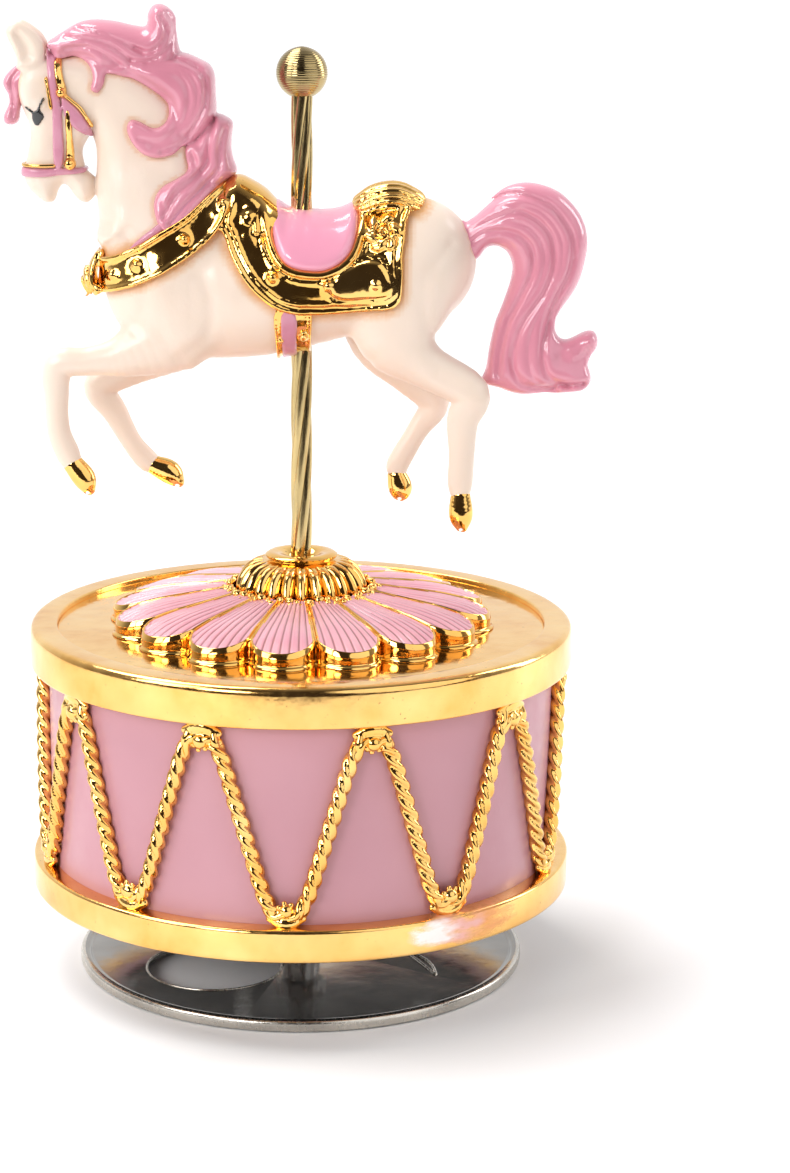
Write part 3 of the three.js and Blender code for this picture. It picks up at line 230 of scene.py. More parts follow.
def grooved_enamel(name, colour, shade):
    """Petal paint, darkened to dark brown along the combed grooves (the attribute "groove") as painted
    shade.
    """
    made, tree, shader = material(name, colour, 0.3, coat=0.4)
    drift = ramp(tree, noise(tree, 120, 3.0), [(0.3, 0.0), (0.75, 1.0)])
    paint = mix_colours(tree, drift, colour, shade)
    # Painted shade along the grooves.
    groove_shade = ramp(tree, point_value(tree, "groove"), [(0.25, 0.0), (0.8, 0.85)])
    tree.links.new(mix_colours(tree, groove_shade, paint, GROOVE_SHADE_BROWN), shader.inputs["Base Color"])
    add_bump(tree, shader, noise(tree, 900, 3.0), ORANGE_PEEL)
    return made


def shaded_cream(name):
    """Satin cream paint turned amber by the attribute "amber_and_shade": amber paint, and painted shade in
    hollows.
    """
    # The amber colour serves both the amber paint and the painted shade in hollows.
    cream, warm, amber_and_shade = (0.90, 0.86, 0.81), (0.88, 0.81, 0.73), (0.74, 0.36, 0.11)
    made, tree, shader = material(name, cream, 0.36, coat=0.15)
    drift = ramp(tree, noise(tree, 70, 3.0), [(0.35, 0.0), (0.8, 0.6)])
    base = mix_colours(tree, drift, cream, warm)
    tree.links.new(mix_colours(tree, point_value(tree, "amber_and_shade"), base, amber_and_shade), shader.inputs["Base Color"])
    shader.inputs["Subsurface Weight"].default_value = 0.04
    shader.inputs["Subsurface Radius"].default_value = (0.004, 0.002, 0.001)
    shader.inputs["Subsurface Scale"].default_value = 0.3
    add_bump(tree, shader, noise(tree, 1100, 3.0), 0.03)
    return made


def metal(name, colour, roughness, stretch=(1, 1, 1), scale=900, depth=0.015):
    """Worked metal: brushing or drawing marks along the stretch, and a soft variation of polish."""
    made, tree, shader = material(name, colour, roughness, metallic=1.0)
    darker = tuple(0.62 * part for part in colour)
    tone = ramp(tree, noise(tree, 60, 3.0), [(0.35, 0.0), (0.75, 1.0)])
    tree.links.new(mix_colours(tree, tone, darker, colour), shader.inputs["Base Color"])
    marks = noise(tree, scale, 4.0, stretch)
    rough = ramp(tree, marks, [(0.3, 0.7 * roughness), (0.7, 1.35 * roughness)])
    tree.links.new(rough, shader.inputs["Roughness"])
    add_bump(tree, shader, marks, depth)
    return made


def moulded_plastic(name, colour):
    """Plastic with the fine grain of its mould."""
    made, tree, shader = material(name, colour, 0.5)
    lighter = tuple(1.6 * part for part in colour)
    tree.links.new(mix_colours(tree, noise(tree, 500), colour, lighter), shader.inputs["Base Color"])
    add_bump(tree, shader, noise(tree, 2500, 3.0), 0.02)
    return made


GILT = gilt("gilt")
HOOP_GILDING = {"waviness": 0.05, "roughness": 0.11, "colour": (0.97, 0.60, 0.20)}
GILT_SMOOTH = gilt("gilt_smooth", **HOOP_GILDING)
GILT_FLAWED = gilt("gilt_flawed", **HOOP_GILDING)
COPPER_SMEAR, PINK_SMEAR, WHITE_SMEAR = (0.80, 0.34, 0.12), (0.82, 0.45, 0.42), (0.93, 0.92, 0.90)
stray_paint(GILT_FLAWED, COPPER_SMEAR, bearing=-50, height=20.4, reach=6.5)
stray_paint(GILT_FLAWED, PINK_SMEAR, bearing=-55, height=19.6, reach=4.5)
stray_paint(GILT_FLAWED, WHITE_SMEAR, bearing=-60, height=19.4, reach=3.6)
HAIR_PINK = enamel("hair_pink", (0.76, 0.31, 0.40), (0.65, 0.24, 0.32))
DRUM_PINK = enamel("drum_pink", (0.55, 0.275, 0.32), (0.51, 0.245, 0.29), roughness=0.38, coat=0.15)
PETAL_PINK = grooved_enamel("petal_pink", (0.82, 0.42, 0.48), (0.72, 0.32, 0.40))
SEAT_PINK = enamel("seat_pink", (0.88, 0.38, 0.50), (0.82, 0.32, 0.46))
STRAP_PINK = enamel("strap_pink", (0.66, 0.28, 0.38), (0.60, 0.24, 0.34), roughness=0.3)
CREAM = shaded_cream("cream")
LASH_BLACK = enamel("lash_black", (0.01, 0.01, 0.01), (0.02, 0.02, 0.02), roughness=0.25)
POLE_BRASS = metal("pole_brass", (0.74, 0.56, 0.26), 0.18, stretch=(1, 1, 0.06), scale=2500, depth=0.03)
BALL_BRASS = metal("ball_brass", (0.52, 0.39, 0.18), 0.14, stretch=(0.05, 0.05, 1), scale=2500, depth=0.03)
# Two copies of one steel: the dark one is painted shade on the plate's face, the pale one a painted
# highlight on its rim and burrs.
SHADED_PLATE_STEEL = metal("shaded_plate_steel", (0.36, 0.345, 0.32), 0.1, scale=300, depth=0.02)
LIT_EDGE_STEEL = metal("lit_edge_steel", (0.74, 0.70, 0.63), 0.24, scale=1200, depth=0.01)
SCREW_STEEL = metal("screw_steel", (0.60, 0.60, 0.60), 0.3)
SPRING_STEEL = metal("spring_steel", (0.16, 0.18, 0.24), 0.3)
MOVEMENT_BRASS = metal("movement_brass", (0.75, 0.58, 0.28), 0.3)
MOVEMENT_CAST = metal("movement_cast", (0.55, 0.55, 0.54), 0.45, scale=1800, depth=0.04)
COVER_BLACK = moulded_plastic("cover_black", (0.02, 0.02, 0.021))

# ------------------------------------------------------------------ making pieces


def add_object(name, data):
    """A new object in the scene."""
    made = bpy.data.objects.new(name, data)
    bpy.context.scene.collection.objects.link(made)
    return made


def make_piece(name, points, faces, materials, replaces=(), body="drum", face_materials=None,
               crease=None):
    """A mesh piece from points in mm that rides on a CAD body and stands for the CAD nodes it replaces."""
    mesh = bpy.data.meshes.new(name)
    corners = (np.asarray(points, float) * MM).tolist()
    mesh.from_pydata(corners, [], [tuple(map(int, face)) for face in faces])
    for one in materials:
        mesh.materials.append(one)
    mesh.polygons.foreach_set("use_smooth", [True] * len(mesh.polygons))
    if face_materials is not None:
        mesh.polygons.foreach_set("material_index", np.asarray(face_materials, np.int32))
    mesh.validate()
    mesh.update()
    if crease is not None:
        mesh.set_sharp_from_angle(angle=math.radians(crease))
    piece = add_object(name, mesh)
    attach(piece, body)
    if replaces:
        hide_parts(*replaces)
    return piece


def paint_attribute(piece, name, values):
    """Keeps one value per point on the mesh, for its material to read."""
    layer = piece.data.attributes.new(name, "FLOAT", "POINT")
    layer.data.foreach_set("value", values.astype(np.float32))


def grid_faces(rows, columns, wrap_rows=False, wrap_columns=True):
    """Quads over a grid of points numbered row by row."""
    row = np.arange(rows if wrap_rows else rows - 1)
    column = np.arange(columns if wrap_columns else columns - 1)
    r, c = np.meshgrid(row, column, indexing="ij")
    r2, c2 = (r + 1) % rows, (c + 1) % columns
    quads = np.stack([r * columns + c, r * columns + c2, r2 * columns + c2, r2 * columns + c], -1)
    return quads.reshape(-1, 4)


def ring_piece(profile, sides, shape=None):
    """Points and faces of a ring turned about Z from a closed section of (radius, z) points."""
    section = np.asarray(profile, float)
    bearing = np.linspace(0, 2 * np.pi, sides, endpoint=False)
    radius, around = np.meshgrid(section[:, 0], bearing, indexing="ij")
    height = np.repeat(section[:, 1:2], sides, axis=1)
    if shape is not None:
        radius, height = shape(radius, height, around)
    points = np.stack([radius * np.cos(around), radius * np.sin(around), height], -1).reshape(-1, 3)
    return points, grid_faces(len(section), sides, wrap_rows=True)


def rounded(profile, radii, steps=4):
    """A closed section with each corner rounded by its own radius (0 leaves it sharp)."""
    corners = np.asarray(profile, float)
    out = []
    for i, corner in enumerate(corners):
        before, after = corners[i - 1], corners[(i + 1) % len(corners)]
        size = radii[i]
        if size == 0:
            out.append(corner)
            continue
        toward_before = (before - corner) / np.linalg.norm(before - corner)
        toward_after = (after - corner) / np.linalg.norm(after - corner)
        start, end = corner + size * toward_before, corner + size * toward_after
        for t in np.linspace(0, 1, steps + 1):
            out.append((1 - t) ** 2 * start + 2 * t * (1 - t) * corner + t ** 2 * end)
    return np.array(out)


def join_meshes(parts):
    """One list of points and faces from several (points, faces) pairs."""
    points, faces, offset = [], [], 0
    for part_points, part_faces in parts:
        points.append(part_points)
        faces.extend(np.asarray(face) + offset for face in part_faces)
        offset += len(part_points)
    return np.concatenate(points), faces


def tube(path, section_radius, sides, closed=False):
    """Points and faces of a tube along a path; section_radius(distance along, angle) is its radius."""
    path = np.asarray(path, float)
    ahead = np.roll(path, -1, axis=0) - np.roll(path, 1, axis=0)
    if not closed:
        ahead[0], ahead[-1] = path[1] - path[0], path[-1] - path[-2]
    ahead /= np.linalg.norm(ahead, axis=1, keepdims=True)
    outward = np.stack([path[:, 0], path[:, 1], np.zeros(len(path))], -1)
    outward -= (outward * ahead).sum(1, keepdims=True) * ahead
    outward /= np.linalg.norm(outward, axis=1, keepdims=True)
    across = np.cross(ahead, outward)
    along = np.concatenate([[0], np.cumsum(np.linalg.norm(np.diff(path, axis=0), axis=1))])
    angle = np.linspace(0, 2 * np.pi, sides, endpoint=False)
    radius = np.broadcast_to(section_radius(along[:, None], angle[None, :]), (len(path), sides))
    points = (path[:, None] + radius[..., None] * (np.cos(angle)[None, :, None] * outward[:, None]
                                                   + np.sin(angle)[None, :, None] * across[:, None]))
    return points.reshape(-1, 3), grid_faces(len(path), sides, wrap_rows=closed)


# ------------------------------------------------------------------ clay: signed distances on a grid


def smooth_curve(points, closed, per_link=4):
    """A smooth (Catmull-Rom) curve through the points, with some steps per link between them."""
    knots = np.asarray(points, float)
    count = len(knots)
    if closed:
        padded = knots[np.arange(-1, count + 2) % count]
    else:
        padded = np.vstack([2 * knots[0] - knots[1], knots, 2 * knots[-1] - knots[-2]])
    rows = []
    for a, b, c, d in zip(padded, padded[1:], padded[2:], padded[3:]):
        for t in np.linspace(0, 1, per_link, endpoint=False):
            rows.append(0.5 * (2 * b + (c - a) * t + (2 * a - 5 * b + 4 * c - d) * t ** 2
                               + (3 * b - a - 3 * c + d) * t ** 3))
    if not closed:
        rows.append(knots[-1])
    return np.array(rows)


def smooth_min(a, b, blend):
    """The lesser of two distances, rounded where they meet: joins two solids."""
    mixed = np.clip(0.5 + 0.5 * (b - a) / blend, 0, 1)
    return b + (a - b) * mixed - blend * mixed * (1 - mixed)


def smooth_max(a, b, blend):
    """The greater of two distances, rounded where they meet: keeps what two solids share."""
    return -smooth_min(-a, -b, blend)


class Clay:
    """A solid as signed distances in mm on a regular grid; negative is inside."""

    def __init__(self, low, high, cell):
        self.low = np.array(low, float)
        self.cell = cell
        counts = np.ceil((np.array(high, float) - self.low) / cell).astype(int) + 1
        self.field = np.full(counts, FAR, np.float32)

    def copy_with(self, field):
        """Another solid on the same grid."""
        other = Clay.__new__(Clay)
        other.low, other.cell, other.field = self.low, self.cell, field.astype(np.float32)
        return other

    def axes(self):
        """The grid's coordinates in mm."""
        lines = [self.low[i] + self.cell * np.arange(self.field.shape[i]) for i in range(3)]
        return np.meshgrid(*lines, indexing="ij", sparse=True)

    def window(self, low, high):
        """The part of the grid between two corners: its slices and its coordinates."""
        slices, lines = [], []
        for i in range(3):
            first = max(0, int((low[i] - self.low[i]) / self.cell))
            last = min(self.field.shape[i], int((high[i] - self.low[i]) / self.cell) + 2)
            slices.append(slice(first, last))
            lines.append((self.low[i] + self.cell * np.arange(first, last)).astype(np.float32))
        return tuple(slices), np.meshgrid(*lines, indexing="ij", sparse=True)

    def limb(self, stations, margin, grooves=0, depth=0.0, phase=0.0):
        """Distance to a chain of stations [x, y, z, radius, half-width], with grooves along it if asked."""
        full = [[*s[:4], s[4] if len(s) > 4 else s[3]] for s in stations]
        chain = smooth_curve(full, closed=False, per_link=5)
        reach = chain[:, 3:].max(1)[:, None] + margin
        slices, (x, y, z) = self.window((chain[:, :3] - reach).min(0), (chain[:, :3] + reach).max(0))
        best = None
        for a, b in zip(chain, chain[1:]):
            step = b[:3] - a[:3]
            t = ((x - a[0]) * step[0] + (y - a[1]) * step[1] + (z - a[2]) * step[2]) / (step @ step + 1e-9)
            t = np.clip(t, 0, 1)
            radius = a[3] + t * (b[3] - a[3])
            width = a[4] + t * (b[4] - a[4])
            dx, dz = x - a[0] - t * step[0], z - a[2] - t * step[2]
            dy = (y - a[1] - t * step[1]) * (radius / width)
            if grooves:
                length = math.hypot(step[0], step[2]) + 1e-9
                sideways = (dz * step[0] - dx * step[2]) / length
                angle = np.arctan2(dy, sideways)
                radius = radius * (1 - depth * (1 - np.abs(np.cos(0.5 * grooves * angle + phase))))
            distance = np.sqrt(dx * dx + dy * dy + dz * dz) - radius
            best = distance if best is None else np.minimum(best, distance)
        return slices, best

    def add(self, stations, blend=1.5, **grooving):
        """Joins a limb to the solid."""
        slices, distance = self.limb(stations, margin=blend + 3.0, **grooving)
        self.field[slices] = smooth_min(self.field[slices], distance, blend)

    def carve(self, stations, blend=0.6):
        """Cuts a limb out of the solid."""
        slices, distance = self.limb(stations, margin=blend + 1.0)
        self.field[slices] = smooth_max(self.field[slices], -distance, blend)

    def surface(self):
        """Points in mm and quads of the solid's skin."""
        grid = openvdb.FloatGrid(FAR)
        grid.copyFromArray(self.field)
        points, quads = grid.convertToQuads(isovalue=0.0)
        return points * self.cell + self.low, quads[:, ::-1]

    def at(self, points):
        """Distances at points in mm, from the nearest grid cells."""
        index = np.rint((np.asarray(points) - self.low) / self.cell).astype(int)
        index = np.clip(index, 0, np.array(self.field.shape) - 1)
        return self.field[index[:, 0], index[:, 1], index[:, 2]]


def clay_piece(name, clay, materials, replaces=()):
    """Makes a piece of a solid's skin."""
    points, quads = clay.surface()
    return make_piece(name, points, quads, materials, replaces)


# ------------------------------------------------------------------ turntable plate


def prism(outline, bottom, top):
    """A closed cutter with a flat outline in X and Y."""
    count = len(outline)
    points = [(x, y, z) for z in (bottom, top) for x, y in outline]
    sides = [(i, (i + 1) % count, count + (i + 1) % count, count + i) for i in range(count)]
    ends = [tuple(range(count))[::-1], tuple(range(count, 2 * count))]
    mesh = bpy.data.meshes.new("cutter")
    mesh.from_pydata((np.array(points) * MM).tolist(), [], [*ends, *sides])
    return add_object("cutter", mesh)


def cut_with(piece, cutters):
    """Cuts the piece with each cutter, then removes the cutters."""
    bpy.context.view_layer.objects.active = piece
    for cutter in cutters:
        modifier = piece.modifiers.new("cut", "BOOLEAN")
        modifier.operation = "DIFFERENCE"
        modifier.solver = "EXACT"
        modifier.object = cutter
        bpy.ops.object.modifier_apply(modifier=modifier.name)
        bpy.data.objects.remove(cutter)
    piece.data.polygons.foreach_set("use_smooth", [True] * len(piece.data.polygons))
    piece.data.set_sharp_from_angle(angle=math.radians(30))


MARK_START, MARK_TIP = np.array([19.8, -3.6]), np.array([25.3, -16.0])
MARK_INNER_PULL, MARK_OUTER_PULL = np.array([21.6, -7.6]), np.array([25.2, -8.0])
HOLE_BURR, MARK_BURR = 0.22, 0.3  # radii, mm


def sound_hole():
    """Outline of the round hole in the plate."""
    x, y = polar(SOUND_HOLE_OFFSET, SOUND_HOLE_BEARING)
    return [(x + dx, y + dy) for dx, dy in (polar(SOUND_HOLE_RADIUS, a) for a in range(0, 360, 4))]


def winding_mark():
    """Crescent outline that narrows to a point at its outer end."""
    t = np.linspace(0, 1, 9)[:, None]
    there = (1 - t) ** 2 * MARK_START + 2 * t * (1 - t) * MARK_INNER_PULL + t ** 2 * MARK_TIP
    back = (1 - t) ** 2 * MARK_TIP + 2 * t * (1 - t) * MARK_OUTER_PULL + t ** 2 * MARK_START
    return [tuple(p) for p in np.vstack([there[:-1], back[:-1]])][::-1]


def build_plate():
    """Pressed steel plate, edge turned down, sound hole and punched curved mark; dark face is painted
    shade, pale rim a painted highlight.
    """
    inner = SHAFT_RADIUS + GAP
    lip = PLATE_RADIUS - 1.6
    underside = PLATE_TOP - PLATE_THICKNESS
    profile = [(inner, underside), (lip, underside), (lip + 0.3, 0), (PLATE_RADIUS, 0),
               (PLATE_RADIUS, RIM_TOP), (lip, RIM_TOP), (lip - 0.5, PLATE_TOP), (inner, PLATE_TOP)]
    points, faces = ring_piece(rounded(profile, [0, 0.2, 0.15, 0.5, 0.8, 0.5, 0.25, 0.2]), 192)
    # The rim gets the pale steel, a painted highlight; the face keeps the dark steel, painted shade.
    lit_rim = np.hypot(points[:, 0], points[:, 1])[faces].min(axis=1) > PLATE_RADIUS - 0.9
    plate = make_piece("steel_plate", points, faces, [SHADED_PLATE_STEEL, LIT_EDGE_STEEL],
                       ["turntable_plate"], "turntable", face_materials=lit_rim.astype(int))
    cut_with(plate, [prism(outline, -1, 4) for outline in (sound_hole(), winding_mark())])


def build_plate_edges():
    """The polished burrs the punch left round the hole and the curved mark, in pale steel as a painted
    highlight.
    """
    parts = []
    mark = smooth_curve(winding_mark(), closed=True)
    for outline, size in ((sound_hole(), HOLE_BURR), (mark, MARK_BURR)):
        path = [(x, y, PLATE_TOP) for x, y in outline]
        parts.append(tube(path, lambda along, angle: size, 8, closed=True))
    points, faces = join_meshes(parts)
    make_piece("punched_edges", points, faces, [LIT_EDGE_STEEL], body="turntable")


# ------------------------------------------------------------------ drum

SIDES = 256
WALL_CLEARANCE = 0.05  # between the wall or the top plate and the hoop round it


def build_drum():
    """The painted wall, the two gold hoops round its ends and the gold top plate."""
    wall = [(WALL_INNER_RADIUS, DRUM_BOTTOM + GAP), (WALL_RADIUS, DRUM_BOTTOM + GAP),
            (WALL_RADIUS, UPPER_HOOP_BOTTOM), (WALL_INNER_RADIUS, UPPER_HOOP_BOTTOM - GAP)]
    points, faces = ring_piece(wall, SIDES)
    make_piece("painted_wall", points, faces, [DRUM_PINK], ["drum_wall"], crease=30)

    inner = WALL_RADIUS + WALL_CLEARANCE
    lower = [(inner, DRUM_BOTTOM), (DRUM_RADIUS, DRUM_BOTTOM), (DRUM_RADIUS, LOWER_HOOP_TOP),
             (inner, LOWER_HOOP_TOP)]
    points, faces = ring_piece(rounded(lower, [0.2, 0.7, 0.7, 0.1]), SIDES, cast_unevenness)
    make_piece("gold_lower_hoop", points, faces, [GILT_FLAWED], ["lower_hoop"], crease=50)

    recess = TOP_PLATE_RADIUS + WALL_CLEARANCE
    ledge = TOP_PLATE_BOTTOM - GAP
    upper = [(WALL_INNER_RADIUS, UPPER_HOOP_BOTTOM), (DRUM_RADIUS, UPPER_HOOP_BOTTOM),
             (DRUM_RADIUS, DRUM_TOP), (recess, DRUM_TOP), (recess, ledge), (WALL_INNER_RADIUS, ledge)]
    points, faces = ring_piece(rounded(upper, [0.2, 0.6, 1.5, 0.4, 0, 0], steps=6), SIDES, cast_unevenness)
    make_piece("gold_upper_hoop", points, faces, [GILT_SMOOTH], ["upper_hoop"], crease=50)

    bore = POLE_RADIUS + GAP
    plate = [(bore, TOP_PLATE_BOTTOM), (TOP_PLATE_RADIUS, TOP_PLATE_BOTTOM),
             (TOP_PLATE_RADIUS, TOP_PLATE_TOP), (bore, TOP_PLATE_TOP)]
    points, faces = ring_piece(rounded(plate, [0, 0.2, 0.3, 0]), SIDES)
    make_piece("gold_top_plate", points, faces, [GILT_SMOOTH], ["top_plate"], crease=40)


def cast_unevenness(radius, height, around):
    """The hoops are cast and plated by hand: their edges wander by a few hundredths of a millimetre."""
    wander = 0.04 * np.sin(3 * around + 1.0) + 0.03 * np.sin(7 * around + height)
    wander = wander + 0.02 * np.sin(17 * around)
    return radius + wander * (radius > WALL_RADIUS + 0.5) - 0.06, height


ROPE_RADIUS = 1.5
ROPE_STRANDS = 3
ROPE_LEAD = 8.7
ROPE_LOW = 24.2
ROPE_HIGH = 54.6
KNOT_SPREAD = 1.65  # how much steeper the legs are than a plain zigzag, which leaves flats at the knots
KNOT_CELL = 0.16
KNOT_STUDS = 7


def rope_path():
    """The lacing round the drum: straight legs between flats at the knots, with rounded turns."""
    steps = 2400
    bearing = np.linspace(0, 2 * np.pi, steps, endpoint=False)
    phase = LACING_PERIODS * (bearing - math.radians(LACING_BEARING))
    zigzag = KNOT_SPREAD * np.arcsin(np.cos(phase)) / (0.5 * np.pi)
    swing = smooth_max(smooth_min(zigzag, 1.0, 0.35), -1.0, 0.35)
    height = 0.5 * (ROPE_LOW + ROPE_HIGH) + 0.5 * (ROPE_HIGH - ROPE_LOW) * swing
    radius = WALL_RADIUS + 0.75 * ROPE_RADIUS
    return np.stack([radius * np.cos(bearing), radius * np.sin(bearing), height], -1)


def rope_section(along, angle):
    """Three round strands laid side by side."""
    turns = round(along[-1, 0] / ROPE_LEAD)
    twist = angle + 2 * np.pi * turns * along / along[-1, 0]
    sector = 2 * np.pi / ROPE_STRANDS
    from_strand = (twist + 0.5 * sector) % sector - 0.5 * sector
    strand = 0.5  # a strand's radius and its distance from the rope's middle, as shares of ROPE_RADIUS
    reach = strand ** 2 - (strand * np.sin(from_strand)) ** 2
    return ROPE_RADIUS * (strand * np.cos(from_strand) + np.sqrt(np.maximum(reach, 0.01)))


def knot_surface(upper):
    """One lacing knot, centred on the origin with +X outwards: two arched cords, two wraps and a button."""
    clay = Clay((-2.6, -5.2, -5.2), (3.6, 5.2, 5.2), KNOT_CELL)
    side = 1 if upper else -1
    arches = [(3.0, 1.3, 2.3, 1.35, 0.4), (3.1, -0.3, 0.6, 1.1, 0.3)]
    for reach, foot, crest, thickness, blend in arches:
        clay.add([(0.1, -reach, foot * side, 0.8), (0.5, 0, crest * side, thickness),
                  (0.1, reach, foot * side, 0.8)], blend=blend)
    button = -0.3 * side
    for y in (-2.7, 2.7):
        wrap = [(0.4, 1.1 * y, -1.6 * side, 0.7), (1.1, y, button, 0.75), (0.5, 0.8 * y, 1.6 * side, 0.7)]
        clay.add(wrap, blend=0.2)
    clay.add([(1.1, 0, button, 1.35)] * 2, blend=0.2)
    for turn in range(KNOT_STUDS):
        angle = 2 * np.pi * turn / KNOT_STUDS
        clay.add([(1.0, 1.5 * math.cos(angle), button + 1.5 * math.sin(angle), 0.5)] * 2, blend=0.15)
    return clay.surface()


def build_lacing():
    """The rope round the drum and a knot at each of its turns."""
    parts = [tube(rope_path(), rope_section, 27, closed=True)]
    high, low = knot_surface(upper=True), knot_surface(upper=False)
    for index in range(2 * LACING_PERIODS):
        bearing = math.radians(LACING_BEARING + index * 180 / LACING_PERIODS)
        points, faces = high if index % 2 == 0 else low
        centre = ROPE_HIGH + 0.3 if index % 2 == 0 else ROPE_LOW + 0.5
        size = 1 + 0.06 * math.sin(5.0 * index)
        x, y, z = (points * (0.8, size, size)).T
        x = x + WALL_RADIUS + 0.9
        turned = np.stack([x * math.cos(bearing) - y * math.sin(bearing),
                           x * math.sin(bearing) + y * math.cos(bearing), z + centre], -1)
        parts.append((turned, faces))
    points, faces = join_meshes(parts)
    make_piece("gold_lacing", points, faces, [GILT], ["rope_lacing"])


# ------------------------------------------------------------------ flower and hub

PETAL_EDGE_TOP = 68.0
PETAL_INNER_TOP = 71.3
ROSETTE_BOTTOM = TOP_PLATE_TOP + 0.05
PETAL_END_RADIUS = 5.8
PETAL_GROOVES = 8
PETAL_DROOP = 1.3
PETAL_DROOP_START = 25.0
GOLD_LINE = 0.5  # width of the gold outline round the paint, mm


def petal_edge(across):
    """Distance of a petal's round end from the axis, for a bearing from its middle in radians."""
    centre = ROSETTE_RADIUS - PETAL_END_RADIUS
    beyond = PETAL_END_RADIUS ** 2 - (centre * np.sin(across)) ** 2
    return centre * np.cos(across) + np.sqrt(np.maximum(beyond, 0.1))


def petal_inset(radius, across):
    """How far a point on a petal lies inside the petal's outline, in mm."""
    centre = ROSETTE_RADIUS - PETAL_END_RADIUS
    from_end = PETAL_END_RADIUS - np.hypot(radius * np.cos(across) - centre, radius * np.sin(across))
    from_side = radius * np.sin(math.pi / PETALS - np.abs(across))
    return np.where(radius * np.cos(across) > centre, np.minimum(from_end, from_side + 0.3), from_side)


def petal_top(radius, across):
    """Height of a petal, and how deep a point lies in the fine grooves combed along it (0 to 1)."""
    share = (ROSETTE_RADIUS - radius) / (ROSETTE_RADIUS - HUB_RADIUS)
    slope = PETAL_EDGE_TOP + (PETAL_INNER_TOP - PETAL_EDGE_TOP) * share ** 1.1
    beyond = np.clip((radius - PETAL_DROOP_START) / (ROSETTE_RADIUS - PETAL_DROOP_START), 0, 1)
    slope = slope - PETAL_DROOP * beyond ** 1.6
    inset = petal_inset(radius, across)
    crown = 0.75 * np.clip(inset / 4.0, 0, 1) ** 0.7
    outline = 0.5 * np.exp(-((inset - 0.5 * GOLD_LINE) / 0.32) ** 2)
    spread = across * PETALS / math.pi
    groove = 1 - np.abs(np.sin(0.5 * np.pi * PETAL_GROOVES * spread))
    groove = np.clip(groove * 1.6 - 0.6, 0, 1) * np.clip((inset - GOLD_LINE) / 0.3, 0, 1)
    return slope + crown + outline - 0.3 * groove - 0.5 * np.exp(-inset / 0.12), groove


def build_flower():
    """Sixteen petals: painted tops inside raised gold outlines, over tall gold sides on a narrow foot."""
    half_pitch = math.pi / PETALS
    per_petal = 64
    across = half_pitch * (2 * (np.arange(per_petal) + 0.5) / per_petal - 1)
    middles = math.radians(PETAL_BEARING) + 2 * half_pitch * np.arange(PETALS)
    bearing = np.concatenate([middle + across for middle in middles])
    across = np.tile(across, PETALS)
    edge = petal_edge(across)
    start = HUB_RADIUS + 0.4
    along = np.concatenate([np.linspace(0, 0.8, 26), np.linspace(0.82, 1.0, 22)])
    radius = [start + s * (edge - start) for s in along]
    height, groove = [list(rows) for rows in zip(*(petal_top(r, across) for r in radius))]
    inset = [petal_inset(r, across) for r in radius]
    rim = height[-1]
    foot = ROSETTE_BOTTOM + 0.45
    turned_over = [(0.05, 0.08), (0.06, 0.25), (0.02, 0.45), (0.0, 0.6), (0.0, 0.8)]  # out, below the rim
    skirt = [(0.0, 0.6), (0.0, 0.35), (0.04, 0.15), (0.4, 0.0), (0.55, -0.1)]  # out, above the foot
    side = [(out, rim - below) for out, below in turned_over]
    side += [(out, np.full_like(rim, foot + above)) for out, above in skirt]
    side.append((0.6, np.full_like(rim, ROSETTE_BOTTOM)))
    radius += [edge + out for out, _ in side] + [np.full_like(edge, start)]
    height += [level for _, level in side] + [np.full_like(edge, ROSETTE_BOTTOM)]
    x, y = radius * np.cos(bearing), radius * np.sin(bearing)
    points = np.stack([x, y, np.array(height)], -1).reshape(-1, 3)
    faces = grid_faces(len(radius), len(bearing), wrap_rows=True)
    plain = [np.zeros_like(edge)] * (len(radius) - len(along))
    painted = np.concatenate(inset + plain) > GOLD_LINE
    on_paint = painted[faces].all(axis=1).astype(int)
    flower = make_piece("painted_flower", points, faces, [GILT, PETAL_PINK],
                        ["flower_rosette"], face_materials=on_paint, crease=60)
    paint_attribute(flower, "groove", np.concatenate(groove + plain))


HUB_PLEATS = 25
HUB_BOTTOM = PETAL_INNER_TOP - 1.6
DOME_MIDDLE = 7.2  # the dome's section is a quarter of an ellipse round this radius
DOME_HEIGHT = 6.1
# The collar's section: radius and height above the hub's bottom, then radius and depth below its top.
HUB_COLLAR_FOOT = [(6.9, 6.8), (6.2, 6.85), (6.0, 7.05), (6.5, 7.35)]
HUB_COLLAR_LIP = [(6.6, 0.5), (6.0, 0.1), (5.2, 0), (3.8, 0.2), (2.9, 0.9), (2.5, 1.3)]


def pleats(radius, height, around):
    """Draws the hub's dome in between its ribs, like a pleated cushion."""
    lobe = np.abs(np.cos(0.5 * HUB_PLEATS * around + 0.4)) ** 0.7
    on_dome = np.clip((radius - 7.0) / 1.5, 0, 1)
    return radius * (1 - 0.18 * on_dome * (1 - lobe)), height


def build_hub():
    """The pleated cushion in the middle of the flower, with a cupped collar for the pole."""
    across = HUB_RADIUS - DOME_MIDDLE
    dome = [(DOME_MIDDLE + across * math.cos(a), HUB_BOTTOM + 0.7 + DOME_HEIGHT * math.sin(a))
            for a in np.linspace(0, 0.46 * np.pi, 16)]
    collar = [(radius, HUB_BOTTOM + above) for radius, above in HUB_COLLAR_FOOT]
    collar += [(radius, HUB_TOP - below) for radius, below in HUB_COLLAR_LIP]
    bore = HUB_COLLAR_LIP[-1][0]
    profile = [(HUB_RADIUS - 0.6, HUB_BOTTOM), *dome, *collar, (bore, HUB_BOTTOM)]
    points, faces = ring_piece(profile, 14 * HUB_PLEATS, pleats)
    make_piece("pleated_hub", points, faces, [GILT], ["rosette_hub"], crease=60)


